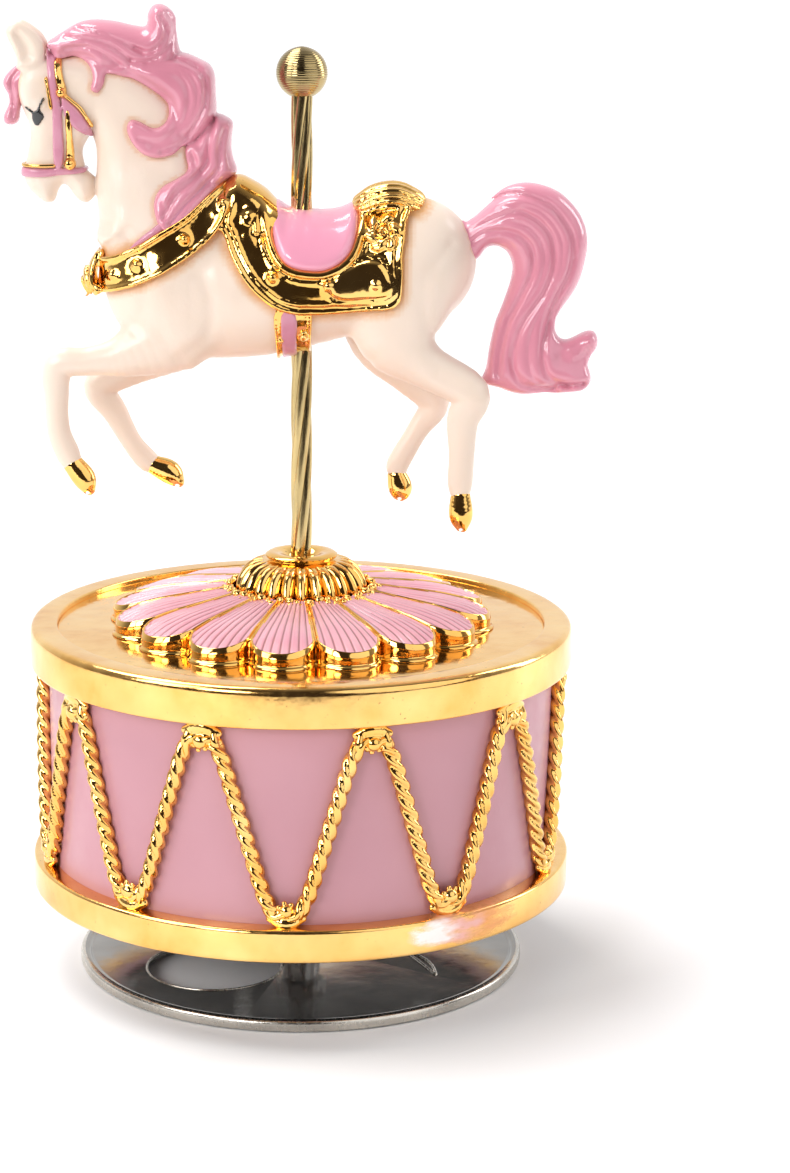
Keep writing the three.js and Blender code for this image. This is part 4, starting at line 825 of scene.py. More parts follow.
def build_beads():
    """Two rows of small lumpy beads, scattered a little, round the foot of the hub."""
    random = np.random.default_rng(SEED)
    parts = []
    rows = [(44, BEAD_CIRCLE - 0.5, (0.55, 0.85)), (52, BEAD_CIRCLE + 0.4, (0.4, 0.75))]
    for beads, circle, sizes in rows:
        for i in range(beads):
            bearing = 2 * np.pi * (i + random.uniform(-0.3, 0.3)) / beads
            from_axis = circle + random.uniform(-0.3, 0.3)
            level = HUB_BOTTOM + 1.5 + (BEAD_CIRCLE - from_axis) * 0.5 + random.uniform(-0.2, 0.3)
            centre = np.array([from_axis * math.cos(bearing), from_axis * math.sin(bearing), level])
            parts.append(nugget(centre, random.uniform(*sizes), random))
    points, faces = join_meshes(parts)
    make_piece("hub_beads", points, faces, [GILT], ["bead_ring"])


def nugget(centre, size, random):
    """A small lumpy bead."""
    rows, columns = 7, 10
    tilt = np.linspace(0.0, np.pi, rows)
    turn = np.linspace(0, 2 * np.pi, columns, endpoint=False)
    around_lump = np.sin(2 * turn[None, :] + random.uniform(0, 6))
    lump = 1 + 0.2 * around_lump * np.sin(tilt[:, None] + random.uniform(0, 1))
    radius = size * lump
    x = radius * np.sin(tilt)[:, None] * np.cos(turn)[None, :]
    y = radius * np.sin(tilt)[:, None] * np.sin(turn)[None, :]
    z = radius * np.cos(tilt)[:, None] * np.ones(columns)[None, :]
    ring = np.stack([x, y, z], -1)[1:-1].reshape(-1, 3)
    points = np.vstack([ring, [(0, 0, size), (0, 0, -size)]]) + centre
    faces = [tuple(quad[::-1]) for quad in grid_faces(rows - 2, columns)]
    top, bottom, last = len(ring), len(ring) + 1, (rows - 3) * columns
    for c in range(columns):
        after = (c + 1) % columns
        faces.append((top, c, after))
        faces.append((bottom, last + after, last + c))
    return points, faces


# ------------------------------------------------------------------ pole and ball


def build_pole():
    """The twisted pole, closed at both ends."""
    sides, levels = 60, 420
    angle = np.linspace(0, 2 * np.pi, sides, endpoint=False)
    height = np.linspace(POLE_BOTTOM, POLE_TOP, levels)
    flute = np.abs(np.cos(0.5 * POLE_FLUTES * angle)) ** 0.8
    radius = POLE_RADIUS * (0.78 + 0.22 * flute)
    turn = angle[None, :] + 2 * np.pi * (height[:, None] - POLE_BOTTOM) / POLE_LEAD
    level = np.repeat(height[:, None], sides, axis=1)
    points = np.stack([radius * np.cos(turn), radius * np.sin(turn), level], -1).reshape(-1, 3)
    faces = [*grid_faces(levels, sides), range(sides)[::-1], range((levels - 1) * sides, levels * sides)]
    make_piece("twisted_pole", points, faces, [POLE_BRASS], ["pole"], crease=50)


def build_ball():
    """The ball on the pole's end, with fine turning lines and a bore for the pole."""
    bore = POLE_RADIUS + GAP
    lowest = -math.acos(bore / BALL_RADIUS)
    tilt = np.linspace(lowest, 0.5 * math.pi, 150)
    turning_lines = 0.025 * np.sin(2 * np.pi * BALL_RADIUS * tilt / 0.42)
    radius = BALL_RADIUS + turning_lines
    skin = [(max(r * math.cos(t), 0.0), BALL_CENTRE + r * math.sin(t)) for r, t in zip(radius, tilt)]
    profile = [(0.02, POLE_TOP + GAP), (bore, POLE_TOP + GAP), *skin[:-1], (0.02, skin[-1][1])]
    points, faces = ring_piece(profile, 96)
    make_piece("turned_ball", points, faces, [BALL_BRASS], ["ball_finial"])


# ------------------------------------------------------------------ drawing on the horse in side view


def curve_distance(x, z, curve, closed):
    """Distance in mm to a side-view curve; inside a closed one it is negative."""
    ends = np.roll(curve, -1, axis=0) if closed else curve[1:]
    nearest = np.full(np.broadcast(x, z).shape, FAR ** 2)
    inside = np.zeros(nearest.shape, bool)
    for (x0, z0), (x1, z1) in zip(curve, ends):
        dx, dz = x1 - x0, z1 - z0
        t = np.clip(((x - x0) * dx + (z - z0) * dz) / (dx * dx + dz * dz + 1e-12), 0, 1)
        nearest = np.minimum(nearest, (x - x0 - t * dx) ** 2 + (z - z0 - t * dz) ** 2)
        if closed:
            inside ^= ((z0 > z) != (z1 > z)) & (x < dx * (z - z0) / (dz if dz else 1e-9) + x0)
    return (np.where(inside, -1, 1) * np.sqrt(nearest)).astype(np.float32)


def pillow(region, across, half_width, rounding):
    """A solid over a region, rounded from its outline up to a half-width."""
    flat = np.maximum(region + rounding, 0)
    return np.sqrt(flat ** 2 + (across * (rounding / half_width)) ** 2) - rounding


def between(first, second, share):
    """The stroke that lies part of the way from one stroke to another."""
    steps = np.linspace(0, 1, 9)
    even = []
    for path in (first, second):
        curve = smooth_curve(path, closed=False)
        along = np.concatenate([[0], np.cumsum(np.hypot(*np.diff(curve, axis=0).T))])
        even.append(np.stack([np.interp(steps * along[-1], along, curve[:, i]) for i in (0, 1)], -1))
    return (1 - share) * even[0] + share * even[1]


class SideView:
    """Shapes drawn on the horse from the side, the same on its near and far sides."""

    def __init__(self, clay):
        self.clay = clay
        self.x, self.y, self.z = [axis.astype(np.float32) for axis in clay.axes()]

    @property
    def skin(self):
        """Distances to the horse's skin."""
        return self.clay.field

    def region(self, outline):
        """Distance to a closed outline; negative inside it."""
        return curve_distance(self.x, self.z, smooth_curve(outline, closed=True), closed=True)

    def stroke(self, path):
        """Distance to an open stroke."""
        return curve_distance(self.x, self.z, smooth_curve(path, closed=False), closed=False)

    def round_region(self, place):
        """Distance to a place."""
        return np.hypot(self.x - place[0], self.z - place[1])

    def solid(self, outline, half_width, rounding, middle=0.0):
        """A rounded solid over an outline; with a middle, one on each side of the horse."""
        return pillow(self.region(outline), np.abs(np.abs(self.y) - middle), half_width, rounding)

    def cover(self, outline, height, rounding):
        """A rounded pad of a height that follows the skin."""
        return pillow(self.region(outline), np.maximum(self.skin, 0), height, rounding)

    def lock(self, outline, half_width, rounding, lift):
        """A lock of hair: it stands free beyond the neck and lies over it where they meet."""
        free = self.solid(outline, half_width, rounding)
        return smooth_min(free, self.cover(outline, lift, rounding=1.1), 0.3)

    def layer(self, outline, height, soften=0.4, sink=0.5):
        """A flat layer of a height that follows the skin and is sunk a little into it."""
        return np.maximum(smooth_max(self.skin - height, self.region(outline), soften), -(self.skin + sink))

    def bead(self, distance, level, size):
        """A round bead laid where the side-view distance is zero, at a level above the skin."""
        return np.sqrt((self.skin - level) ** 2 + distance ** 2) - size

    def rivet(self, place, level, size):
        """A domed rivet on a flat boss, on each side of the horse."""
        across = self.skin[int(round((place[0] - self.clay.low[0]) / self.clay.cell)), :,
                           int(round((place[1] - self.clay.low[2]) / self.clay.cell))]
        depths = self.y.ravel()
        seat = depths[(depths > 0) & (across > level)].min()
        boss = smooth_max(self.skin - level - 0.3, self.round_region(place) - 1.4 * size, 0.2)
        dome = np.sqrt(self.round_region(place) ** 2 + (np.abs(self.y) - seat) ** 2) - size
        return np.minimum(boss, dome)

    def combed(self, field, strokes, depth, width):
        """Grooves (or, with a negative depth, ridges) along the strokes."""
        for path in strokes:
            field = field + depth * np.exp(-(self.stroke(path) / width) ** 2)
        return field

    def piece(self, name, field, materials, slot, replaces=()):
        """Makes a piece from distances on the horse's grid; returns them as clay."""
        clay = self.clay.copy_with(field)
        clay_piece(name, clay, materials, replaces)
        return clay


# ------------------------------------------------------------------ horse

TORSO = [
    (-22.3, 0, 126.2, 12.4, 9.8), (-8, 0, 126.5, 12.2, 10.8), (8, 0, 128.3, 10.2, 10.2),
    (19.8, 0, 131.6, 11.6, 10),
]
NECK_BASE = [(-24, 0, 132, 11.5, 8.6), (-26, 0, 138.5, 9.6, 7), (-27.6, 0, 143.5, 8.4, 6.2)]
WITHERS = [(-21, 0, 136, 8, 6.6), (-14.4, 0, 138.6, 6.4, 6.8), (-10, 0, 136.6, 5.6, 7.6)]
NECK = [
    (-35.6, 134), (-36.1, 139.1), (-36.4, 142.4), (-36.7, 146), (-36.6, 150), (-36.9, 152.6),
    (-38.4, 156), (-42, 161), (-42, 167), (-36, 168.6), (-27, 164.5), (-20.6, 158), (-18, 150),
    (-15.6, 143.6), (-22, 134),
]
HEAD = [
    (-45.6, 168), (-49.2, 166.2), (-50.5, 163.4), (-50.3, 160.4), (-49.3, 157.6), (-48.5, 155.6),
    (-48.3, 153.6), (-48.9, 150.2), (-49.5, 147.7), (-49.5, 146), (-48.8, 144.3), (-47.4, 142.8),
    (-45.7, 141.7), (-44.2, 142.1), (-43.5, 144), (-42.6, 145), (-41.6, 144.4), (-40.4, 142.6),
    (-38.8, 141.7), (-37.4, 142.5), (-36.9, 144.4), (-37.2, 146.4), (-38.4, 147.6), (-39, 149.6),
    (-39, 151.4), (-37.6, 154), (-35, 158), (-35, 163), (-39, 167.4),
]
EAR = [
    (-50.2, 165.4), (-50.2, 167), (-50.8, 168.8), (-51.7, 170.6), (-52.1, 172.1), (-51.2, 173.4),
    (-49.6, 173.7), (-47.5, 172.5), (-46.1, 171.2), (-45.2, 169.2), (-45.6, 166.4), (-47.6, 164.6),
]
EAR_CUP = [
    (-49.4, 166.4), (-49.9, 168.8), (-50.9, 171.2), (-50.6, 172.5), (-49, 172.2), (-47.2, 169.8),
    (-46.8, 167.2),
]
NEAR_FORELEG = [(-23, -4.4, 119, 7.4, 5.2), (-31.5, -5.6, 115, 3.9, 3.2), (-38, -6, 113.9, 2.6, 2.4),
                (-43.4, -6, 113, 2.75, 2.3), (-43.9, -6, 106.5, 2.15, 1.8), (-43.6, -6, 101.2, 2.1, 1.8),
                (-42.2, -6, 97.4, 2.2, 1.8), (-41.4, -6, 95.6, 1.9, 1.7)]
FAR_FORELEG = [(-23, 4.4, 118, 7.4, 5.2), (-31.5, 5.6, 111.4, 3.8, 3.2), (-37.2, 6, 107.5, 3, 2.4),
               (-34.4, 6, 102.4, 2.3, 1.8), (-31.6, 6, 97.2, 1.9, 1.7), (-29, 6, 93.9, 2.1, 1.7),
               (-27.6, 6, 92.8, 1.7, 1.6)]
NEAR_HIND_LEG = [(17.6, -4.2, 127.5, 10, 6.2), (16.8, -5.2, 120, 7.6, 5.2), (21.9, -5.6, 113.9, 4.3, 3.5),
                 (30.4, -6, 108.8, 3.5, 2.7), (29.2, -6, 103.6, 2.9, 2.1), (29.1, -6, 97.4, 2.35, 1.8),
                 (28.9, -6, 92.6, 2.3, 1.8), (28.9, -6, 90.6, 1.9, 1.7)]
FAR_HIND_LEG = [(16, 4.2, 127, 10, 6.2), (15.5, 5.2, 118, 7.4, 5.2), (19.5, 5.6, 110.5, 4, 3.3),
                (24.1, 6, 104.9, 2.9, 2.4), (21.2, 6, 99.6, 2, 1.8), (17.8, 6, 93.6, 2.1, 1.7),
                (17.5, 6, 92, 1.8, 1.6)]
HOOVES = {
    "near_fore": [(-41, -6, 95, 1.9, 1.8), (-39.2, -6, 92.6, 2.1, 2.1), (-38.3, -6, 90.6, 1.2, 1.7)],
    "far_fore": [(-27.4, 6, 92.7, 1.8, 1.7), (-24.6, 6, 91.4, 2.2, 2), (-22.9, 6, 89.6, 1.1, 1.6)],
    "near_hind": [(29, -6, 89.8, 1.8, 1.8), (29.1, -6, 86.4, 2.2, 2.1), (29.3, -6, 84.2, 1.2, 1.6)],
    "far_hind": [(17.5, 6, 91, 1.8, 1.8), (18.1, 6, 88.8, 2.2, 2), (18.2, 6, 87.4, 1.2, 1.6)],
}
MUSCLE_LINES = [
    [(-31, 137), (-28.4, 131), (-27.6, 125), (-29.4, 119.6)],
    [(-17.6, 130), (-15.4, 125), (-16.8, 119), (-21, 115.4)],
    [(10.6, 122.6), (9.8, 118.8), (12.6, 114.8)],
    [(26.6, 135.4), (22.4, 130), (22, 124), (24.4, 118)],
    [(24.6, 112.4), (27.8, 110.6), (31, 109.6)],
]
EAR_SPREAD = 2.7  # from the horse's middle to the middle of each ear
HORSE_LOW, HORSE_HIGH = (-57, -15, 80), (57, 15, 180)  # corners of the grid it is modelled on
HORSE_CELL, QUICK_CELL, HOOF_CELL = 0.34, 0.6, 0.2


def build_horse():
    """The horse with its tack and hair, all drawn on one grid."""
    view = SideView(Clay(HORSE_LOW, HORSE_HIGH, HORSE_CELL))
    sculpt_body(view)
    saddle = build_saddle(view)
    collar = build_breast_collar(view)
    build_girth(view)
    build_bridle(view)
    build_eyes(view)
    hair = [build_mane(view), build_forelock(view), build_tail(view)]
    points, quads = view.clay.surface()
    horse = make_piece("painted_horse", points, quads, [CREAM], ["horse_body"])
    shade_horse(horse, points, view.clay, [saddle, collar], hair)
    build_hooves()


def sculpt_body(view):
    """The horse's body: torso and legs as limbs, neck and head from their side-view outlines."""
    body = view.clay
    body.add(TORSO, blend=3)
    body.add(NECK_BASE, blend=4)
    body.add(WITHERS, blend=2)
    for leg in (NEAR_FORELEG, FAR_FORELEG, NEAR_HIND_LEG, FAR_HIND_LEG):
        body.add(leg, blend=2.2)
    neck_width = np.interp(view.z, [134, 142, 150, 158, 168], [8.4, 6.6, 5.4, 4.8, 4.0])
    body.field = smooth_min(body.field, view.solid(NECK, neck_width, rounding=5.5), 1.6)
    head_width = np.interp(view.z, [141, 146, 152, 158, 164, 169], [2.6, 3.3, 3.9, 4.6, 4.4, 3.4])
    body.field = smooth_min(body.field, view.solid(HEAD, head_width, rounding=3.2), 0.8)
    for side in (-1, 1):
        shoulder = [(-24, 6.4 * side, 127, 5.4, 3.4), (-20, 6.8 * side, 121, 4.6, 3)]
        haunch = [(20, 6 * side, 131, 6.4, 4), (19, 6.4 * side, 124, 5.4, 3.4)]
        cheek = [(-41.0, 2.8 * side, 156.4, 3.4, 1.9)] * 2
        brow = [(-47.4, 3.1 * side, 158.9, 1.3, 1.2), (-46.0, 3.5 * side, 158.9, 1.3, 1.1)]
        nostril = [(-48.0, 3.3 * side, 145.4, 0.55), (-47.3, 3.5 * side, 146.3, 0.4)]
        for muscle, blend in ((shoulder, 3), (haunch, 3), (cheek, 1.4), (brow, 0.8)):
            body.add(muscle, blend=blend)
        body.carve(nostril, blend=0.5)
    ears = view.solid(EAR, half_width=1.25, rounding=1.5, middle=EAR_SPREAD)
    cups = np.clip(-view.region(EAR_CUP) / 1.2, 0, 1) * (np.abs(view.y) > EAR_SPREAD)
    body.field = smooth_min(body.field, ears + 0.95 * cups, 0.6)
    body.field = view.combed(body.field, MUSCLE_LINES, depth=0.35, width=1.3).astype(np.float32)


SADDLE_SKIRT = [
    (-14.4, 138.9), (-13.7, 138), (-12.9, 136.4), (-12.1, 134.1), (-10.8, 131.6), (-9.1, 129),
    (-6.9, 126.7), (-4.1, 124.7), (-1.3, 123.8), (1.5, 123.6), (6.5, 123.8), (11.7, 124.3), (15.6, 124.7),
    (17, 125.5), (17.6, 127), (17.7, 130.6), (17.7, 134.1), (18.1, 136.6), (18.3, 139.5), (19.2, 142),
    (20.4, 146), (18, 151), (4, 152), (-10, 151), (-12.4, 145.4),
]
SEAT_PANEL = [
    (-5.3, 152), (-5.4, 146), (-5.3, 140.2), (-4.8, 137.3), (-4, 134.7), (-2.7, 132.7), (-0.6, 131.6),
    (2.9, 131.2), (5, 131.6), (7.2, 132.8), (8.9, 134.8), (9.8, 137.7), (10.2, 141.2), (10.3, 146),
    (10, 152),
]
REAR_PANEL = [
    (6.1, 130.4), (9.6, 132.6), (11.7, 133.2), (13.9, 133), (15.3, 131.6), (16.4, 129.1), (16.4, 127.4),
    (15.3, 126.3), (11.7, 125.9), (7, 125.8), (4.8, 127.8),
]
SADDLE_RIVETS = [(-9.2, 140.1), (-4.8, 130), (5, 128.5), (13.4, 128.8)]
CANTLE = [
    (11.2, 0, 141.7, 2.3, 6.2), (13.8, 0, 142.7, 2.9, 7), (17, 0, 143.0, 3.0, 7.2),
    (19.8, 0, 142, 2.7, 6.2),
]
POMMEL = [
    (-11.4, 0, 143.6, 3.4, 6.6), (-8.7, 0, 141.9, 3.5, 7.2), (-6.2, 0, 139.7, 3.3, 7.6),
    (-3.8, 0, 138.2, 3.1, 7.6),
]


def build_saddle(view):
    """Gold skirt with a doubled raised edge, rivets, a flower, a ribbed cantle and a smooth pommel."""
    skirt, seat = view.region(SADDLE_SKIRT), view.region(SEAT_PANEL)
    relief = [
        view.bead(skirt, 0.9, 0.48),
        view.bead(skirt + 1.5, 1.0, 0.34),
        view.bead(seat - 0.8, 1.3, 0.75),
        view.bead(seat - 2.3, 1.0, 0.3),
        view.cover(REAR_PANEL, 1.75, 1.0),
        view.bead(view.region(REAR_PANEL) - 0.5, 1.0, 0.34),
        flower_relief(view, place=(14.5, 137.8), size=3.3),
    ]
    relief += [view.bead(view.stroke([(x, 144), (x + 0.2, 137.6)]), 1.1, 0.42) for x in (-7.9, -6.9)]
    relief += [view.rivet(place, 1.0, 0.95) for place in SADDLE_RIVETS]
    field = view.layer(SADDLE_SKIRT, 1.0)
    for shape in relief:
        field = smooth_min(field, shape, 0.25)
    saddle = view.clay.copy_with(field)
    saddle.add(CANTLE, blend=0.5, grooves=16, depth=0.14)
    saddle.add(POMMEL, blend=1.0)
    saddle.field = np.maximum(saddle.field, -(view.skin + 0.5))
    clay_piece("gold_saddle", saddle, [GILT], ["saddle"])

    pad = pillow(seat - 0.5, np.maximum(view.skin, 0), 2.7, 2.2)
    pad = np.maximum(pad, -(view.skin - 0.5))
    view.piece("seat_pad", pad, [SEAT_PINK], "seat_pink", ["saddle_seat"])
    return saddle


def flower_relief(view, place, size):
    """A small swirled flower standing on the saddle."""
    distance = view.round_region(place)
    around = np.arctan2(view.z - place[1], view.x - place[0])
    petals = np.abs(np.cos(3 * around + 0.9 * distance))
    edge = size * (0.72 + 0.28 * petals ** 0.6)
    swirl = 0.5 * np.cos(2 * np.pi * distance / 1.1 + around) * (distance < 0.5 * size)
    height = 1.6 + 0.8 * petals * (distance > 0.5 * size) + swirl - 0.15 * distance
    return smooth_max(view.skin - height, distance - edge, 0.3)


COLLAR_BAND = [
    (-45, 124.5), (-38, 126), (-33, 127.2), (-28, 129), (-24, 131), (-20, 133.6), (-16.5, 136.4),
    (-14.2, 139.4), (-12.4, 144), (-12.2, 146.8), (-15, 144.6), (-20, 140), (-25, 136.9), (-30, 134),
    (-36, 132), (-45, 132.6),
]
COLLAR_STRIP = [
    (-30.5, 134), (-27, 136), (-22, 139.3), (-17.5, 142.8), (-13.4, 147.2), (-13.2, 148.6),
    (-15.6, 147.4), (-20, 143), (-25, 139), (-29, 135.8),
]
SHELL_ROOT = np.array([-37.6, 123.6])
COLLAR_RIVETS = [(-33.5, 129.6), (-29, 131.7), (-20.5, 136.3), (-13.6, 142.6)]


def build_breast_collar(view):
    """Gold band with a raised edge and rivets, a pink strip along it and a shell on the chest."""
    field = view.layer(COLLAR_BAND, 1.0)
    field = smooth_min(field, view.bead(view.region(COLLAR_BAND), 1.0, 0.5), 0.3)
    for place in COLLAR_RIVETS:
        field = smooth_min(field, view.rivet(place, 1.0, 0.85), 0.2)
    collar = view.clay.copy_with(field)
    for lean in np.radians(np.linspace(-60, 60, 9)):
        spread = 4.4 * math.sin(lean)
        tip = (-38.4 + 2.4 * abs(math.sin(lean)) ** 2, spread, 125.2 + 2.4 * (1 - math.cos(lean)))
        middle = (-39.0 + 1.8 * abs(math.sin(lean)) ** 2, 0.9 * spread, 128.6)
        collar.add([(-36.0, 0.7 * spread, 133.0, 0.8), (*middle, 0.85), (*tip, 0.8)], blend=0.3)
    grooves = []
    for lean in np.radians(np.linspace(82, 124, 4)):
        ray = np.array([math.cos(lean), math.sin(lean)])
        grooves.append([SHELL_ROOT + reach * ray for reach in (1.5, 5, 10)])
    collar.field = view.combed(collar.field, grooves, depth=0.45, width=0.32)
    collar.field = np.maximum(collar.field, -(view.skin + 0.5))
    clay_piece("gold_breast_collar", collar, [GILT], ["breast_collar"])
    view.piece("collar_strip", view.layer(COLLAR_STRIP, 0.9), [STRAP_PINK], "seat_pink")
    return collar


GIRTH = [(-3.9, 124.2), (-4, 116), (-4, 104), (1.3, 104), (1.4, 116), (1.4, 124.2)]
GIRTH_PANEL = [(-3.3, 123.2), (-3.3, 116), (-3.3, 104), (-0.7, 104), (-0.7, 116), (-0.7, 123.2)]


def build_girth(view):
    """Gold strap with a raised edge, two buckles and a pink panel, open where the pole passes through."""
    around_pole = POLE_RADIUS + 0.1 - np.sqrt(view.x ** 2 + view.y ** 2)
    field = smooth_min(view.layer(GIRTH, 0.6), view.bead(view.region(GIRTH), 0.6, 0.4), 0.2)
    field = np.minimum(field, view.bead(view.round_region((0.6, 118.8)), 1.0, 0.8))
    field = np.minimum(field, view.bead(view.round_region((-3.4, 118.2)), 0.9, 0.5))
    view.piece("gold_girth", np.maximum(field, around_pole), [GILT], "gilt", ["girth_strap"])
    panel = np.maximum(view.layer(GIRTH_PANEL, 0.95, sink=-0.2), around_pole)
    view.piece("girth_panel", panel, [STRAP_PINK], "seat_pink")


CHEEK_STRAP = [
    (-45, 169), (-44.7, 165), (-44.3, 161.4), (-43.9, 158.5), (-43.9, 149), (-42.2, 149), (-42.1, 155),
    (-42.3, 158.5), (-42.8, 161.4), (-43.2, 165), (-43.5, 169),
]
NOSEBAND = [
    (-52, 146.5), (-46, 146.5), (-42, 146.9), (-38.5, 147.3), (-38.5, 148.2), (-42, 148.1), (-46, 148),
    (-52, 148),
]
THROAT_STRAP = [
    (-42.3, 160.9), (-40.6, 159.8), (-39, 158.2), (-37.4, 155.6), (-37, 153.6), (-38.5, 154.2),
    (-40.2, 155.4), (-41.7, 157.4),
]
BROW_BAND = [
    (-43.3, 168), (-43.1, 164.6), (-42.5, 161.6), (-41.7, 160.6), (-41.3, 161.8), (-42, 164.6),
    (-42.4, 168),
]
CHEEK_BAR = [(-41.6, 158.2), (-41.6, 153), (-41.6, 149.4), (-40.3, 149.4), (-40.4, 153), (-40.7, 158.2)]
BRIDLE_LINES = [
    [(-52, 148.5), (-46, 148.5), (-43.8, 148.6)], [(-44.9, 164), (-44.5, 161.4), (-44.1, 158.8)],
    [(-43.3, 166.8), (-42.5, 162.2), (-40.4, 160.1), (-38.8, 158.7), (-37, 155.6)],
]


def build_bridle(view):
    """Pink straps with gold edging, cheek bars and studs."""
    pink = np.minimum(view.layer(CHEEK_STRAP, 0.65), view.layer(NOSEBAND, 0.6))
    pink = np.minimum(pink, view.layer(THROAT_STRAP, 0.55))
    view.piece("pink_bridle", pink, [STRAP_PINK], "seat_pink")
    gold = np.minimum(view.layer(BROW_BAND, 0.6), view.layer(CHEEK_BAR, 0.65))
    for path in BRIDLE_LINES:
        gold = np.minimum(gold, view.bead(view.stroke(path), 0.4, 0.36))
    for place, size in (((-42.3, 161.5), 0.9), ((-41, 148.9), 1.1)):
        gold = np.minimum(gold, view.bead(view.round_region(place), 0.5, size))
    view.piece("gold_bridle", gold, [GILT], "gilt", ["bridle"])


EYE = [
    (-47.7, 157.3), (-46.8, 158.4), (-45.7, 158.1), (-45.4, 157), (-46, 156.3), (-46.6, 155.5),
    (-47.3, 155.9),
]
LASHES = [
    [(-46.5, 157.9), (-46.1, 159.2), (-45.5, 160.4)], [(-48.7, 158.9), (-47.9, 158.3), (-46.9, 157.7)],
]


def build_eyes(view):
    """Black paint: an eye and two lashes on each side."""
    eyes = view.layer(EYE, 0.2, soften=0.1, sink=0.3)
    for path in LASHES:
        eyes = np.minimum(eyes, view.bead(view.stroke(path), 0.05, 0.26))
    view.piece("painted_eyes", eyes, [LASH_BLACK], "cover_black")


# ------------------------------------------------------------------ hair

MANE_CROWN = [
    (-45, 169.8), (-43.5, 171.1), (-41.2, 172.6), (-39, 173.7), (-36.2, 174.1), (-33, 173.8),
    (-30.2, 173.2), (-28, 172.9), (-27.4, 173.4), (-27.2, 175.2), (-26.4, 176.5), (-25.2, 176.9),
    (-23.8, 176.4), (-22.6, 175.2), (-22, 173.4), (-22, 170.6), (-21.6, 168.2), (-23, 165.4),
    (-27, 164.2), (-31, 164.2), (-34.2, 164.9), (-34.8, 163), (-35.9, 161.5), (-37.1, 162.1),
    (-36.8, 163.6), (-36.9, 165.1), (-38, 166.8), (-40.2, 167.7), (-43.4, 167.3),
]
MANE_CURL = [
    (-34.4, 165.1), (-31, 167), (-26.5, 168.2), (-21.3, 168.5), (-17.8, 167.2), (-16.2, 166.2),
    (-15.4, 164.4), (-15.2, 161), (-15.2, 157.6), (-16.6, 154.8), (-18.6, 153), (-20.9, 152.2),
    (-22.7, 150.8), (-25.6, 150.2), (-27.8, 150.8), (-29.2, 152), (-30.4, 153.8), (-30.8, 155.6),
    (-30, 156.9), (-28.3, 156.5), (-26.3, 155.5), (-24.6, 155.9), (-23.5, 157.4), (-23.6, 159.5),
    (-25, 161), (-28, 163), (-31, 164.4),
]
MANE_FALL = [
    (-23.4, 136.9), (-24.9, 138.3), (-25.7, 140), (-26, 142.2), (-25.5, 144), (-24.2, 145.5),
    (-22.2, 146.4), (-20.6, 147.2), (-20, 148.4), (-20.4, 150.2), (-20.4, 152), (-18.6, 154.4),
    (-15.4, 157.6), (-13.2, 157.1), (-12.2, 156), (-12.4, 153.8), (-12.5, 151.7), (-12.1, 149.6),
    (-11.5, 147.6), (-12.8, 146.2), (-15.9, 143.6), (-19.6, 139.7), (-21.4, 138),
]
CURL_INNER = [
    (-30.6, 165.5), (-26.4, 165.8), (-22.1, 165.1), (-20, 162.7), (-19.8, 159.1), (-21.4, 155.6),
    (-25, 153.1), (-28.5, 153.5),
]
CURL_OUTER = [
    (-24, 167.6), (-21.4, 167.2), (-17.9, 165.5), (-16.8, 162.7), (-17.2, 159.1), (-19, 155.6),
    (-21.4, 152.8), (-24.6, 151.4),
]
CROWN_STROKES = [
    [(-41.6, 171.1), (-37.3, 170.8), (-33.6, 169.8), (-30, 167.2)],
    [(-39.6, 172.6), (-35.9, 171.8), (-31.8, 170.6), (-27.8, 168.4)],
    [(-41.6, 169.2), (-37.6, 169.5), (-34.6, 168.2), (-32, 166.4)],
    [(-30, 167.2), (-26.5, 167.2), (-24.3, 168.6), (-22.9, 170.8), (-22.6, 173.4), (-23.6, 175.2)],
    [(-29.2, 169.4), (-26.6, 168.7), (-24.4, 170.4), (-23.8, 172.6), (-24.8, 174.8)],
]
FALL_STROKES = [
    [(-15.6, 156.6), (-16.5, 152.1), (-16.8, 149.3), (-19.3, 146.5), (-22.1, 143.7), (-24.2, 140.1)],
    [(-13.6, 155.4), (-14.5, 151.6), (-14.6, 148.4), (-17.4, 145.2), (-20.6, 142), (-23.2, 138.8)],
]
FALL_RIDGE = [(-19.1, 152), (-17.9, 150), (-18.6, 148.2), (-20.8, 147), (-22.6, 145.4), (-24, 143)]


def build_mane(view):
    """Crown, long curl and fall of the mane, each a rounded lock combed by long grooves."""
    crown = view.lock(MANE_CROWN, half_width=5.0, rounding=3.4, lift=1.2)
    curl = view.lock(MANE_CURL, half_width=6.2, rounding=3.0, lift=1.7)
    fall = view.lock(MANE_FALL, half_width=5.6, rounding=3.0, lift=1.3)
    crown = view.combed(crown, CROWN_STROKES, depth=0.42, width=0.45)
    curl = view.combed(curl, [CURL_INNER, between(CURL_INNER, CURL_OUTER, 0.55)], depth=0.25, width=0.6)
    curl = view.combed(curl, [CURL_OUTER], depth=0.45, width=0.45)
    fall = view.combed(fall, FALL_STROKES, depth=0.45, width=0.5)
    fall = view.combed(fall, [FALL_RIDGE], depth=-0.4, width=0.6)
    field = np.minimum(np.minimum(crown, curl), fall)
    return view.piece("painted_mane", field, [HAIR_PINK], "hair_pink", ["mane"])


FORELOCK = [
    (-47.6, 167.6), (-50, 166.4), (-52, 164.8), (-53, 163.3), (-52.9, 162.1), (-52.2, 160.9),
    (-52, 159.4), (-52.5, 158.2), (-53.1, 156.8), (-52.7, 155.6), (-51.2, 155.5), (-50.3, 156.4),
    (-50, 158.4), (-49, 162), (-47, 165),
]
FORELOCK_STROKES = [[(-49, 166), (-51.4, 163.4), (-51, 160), (-51.4, 157)]]


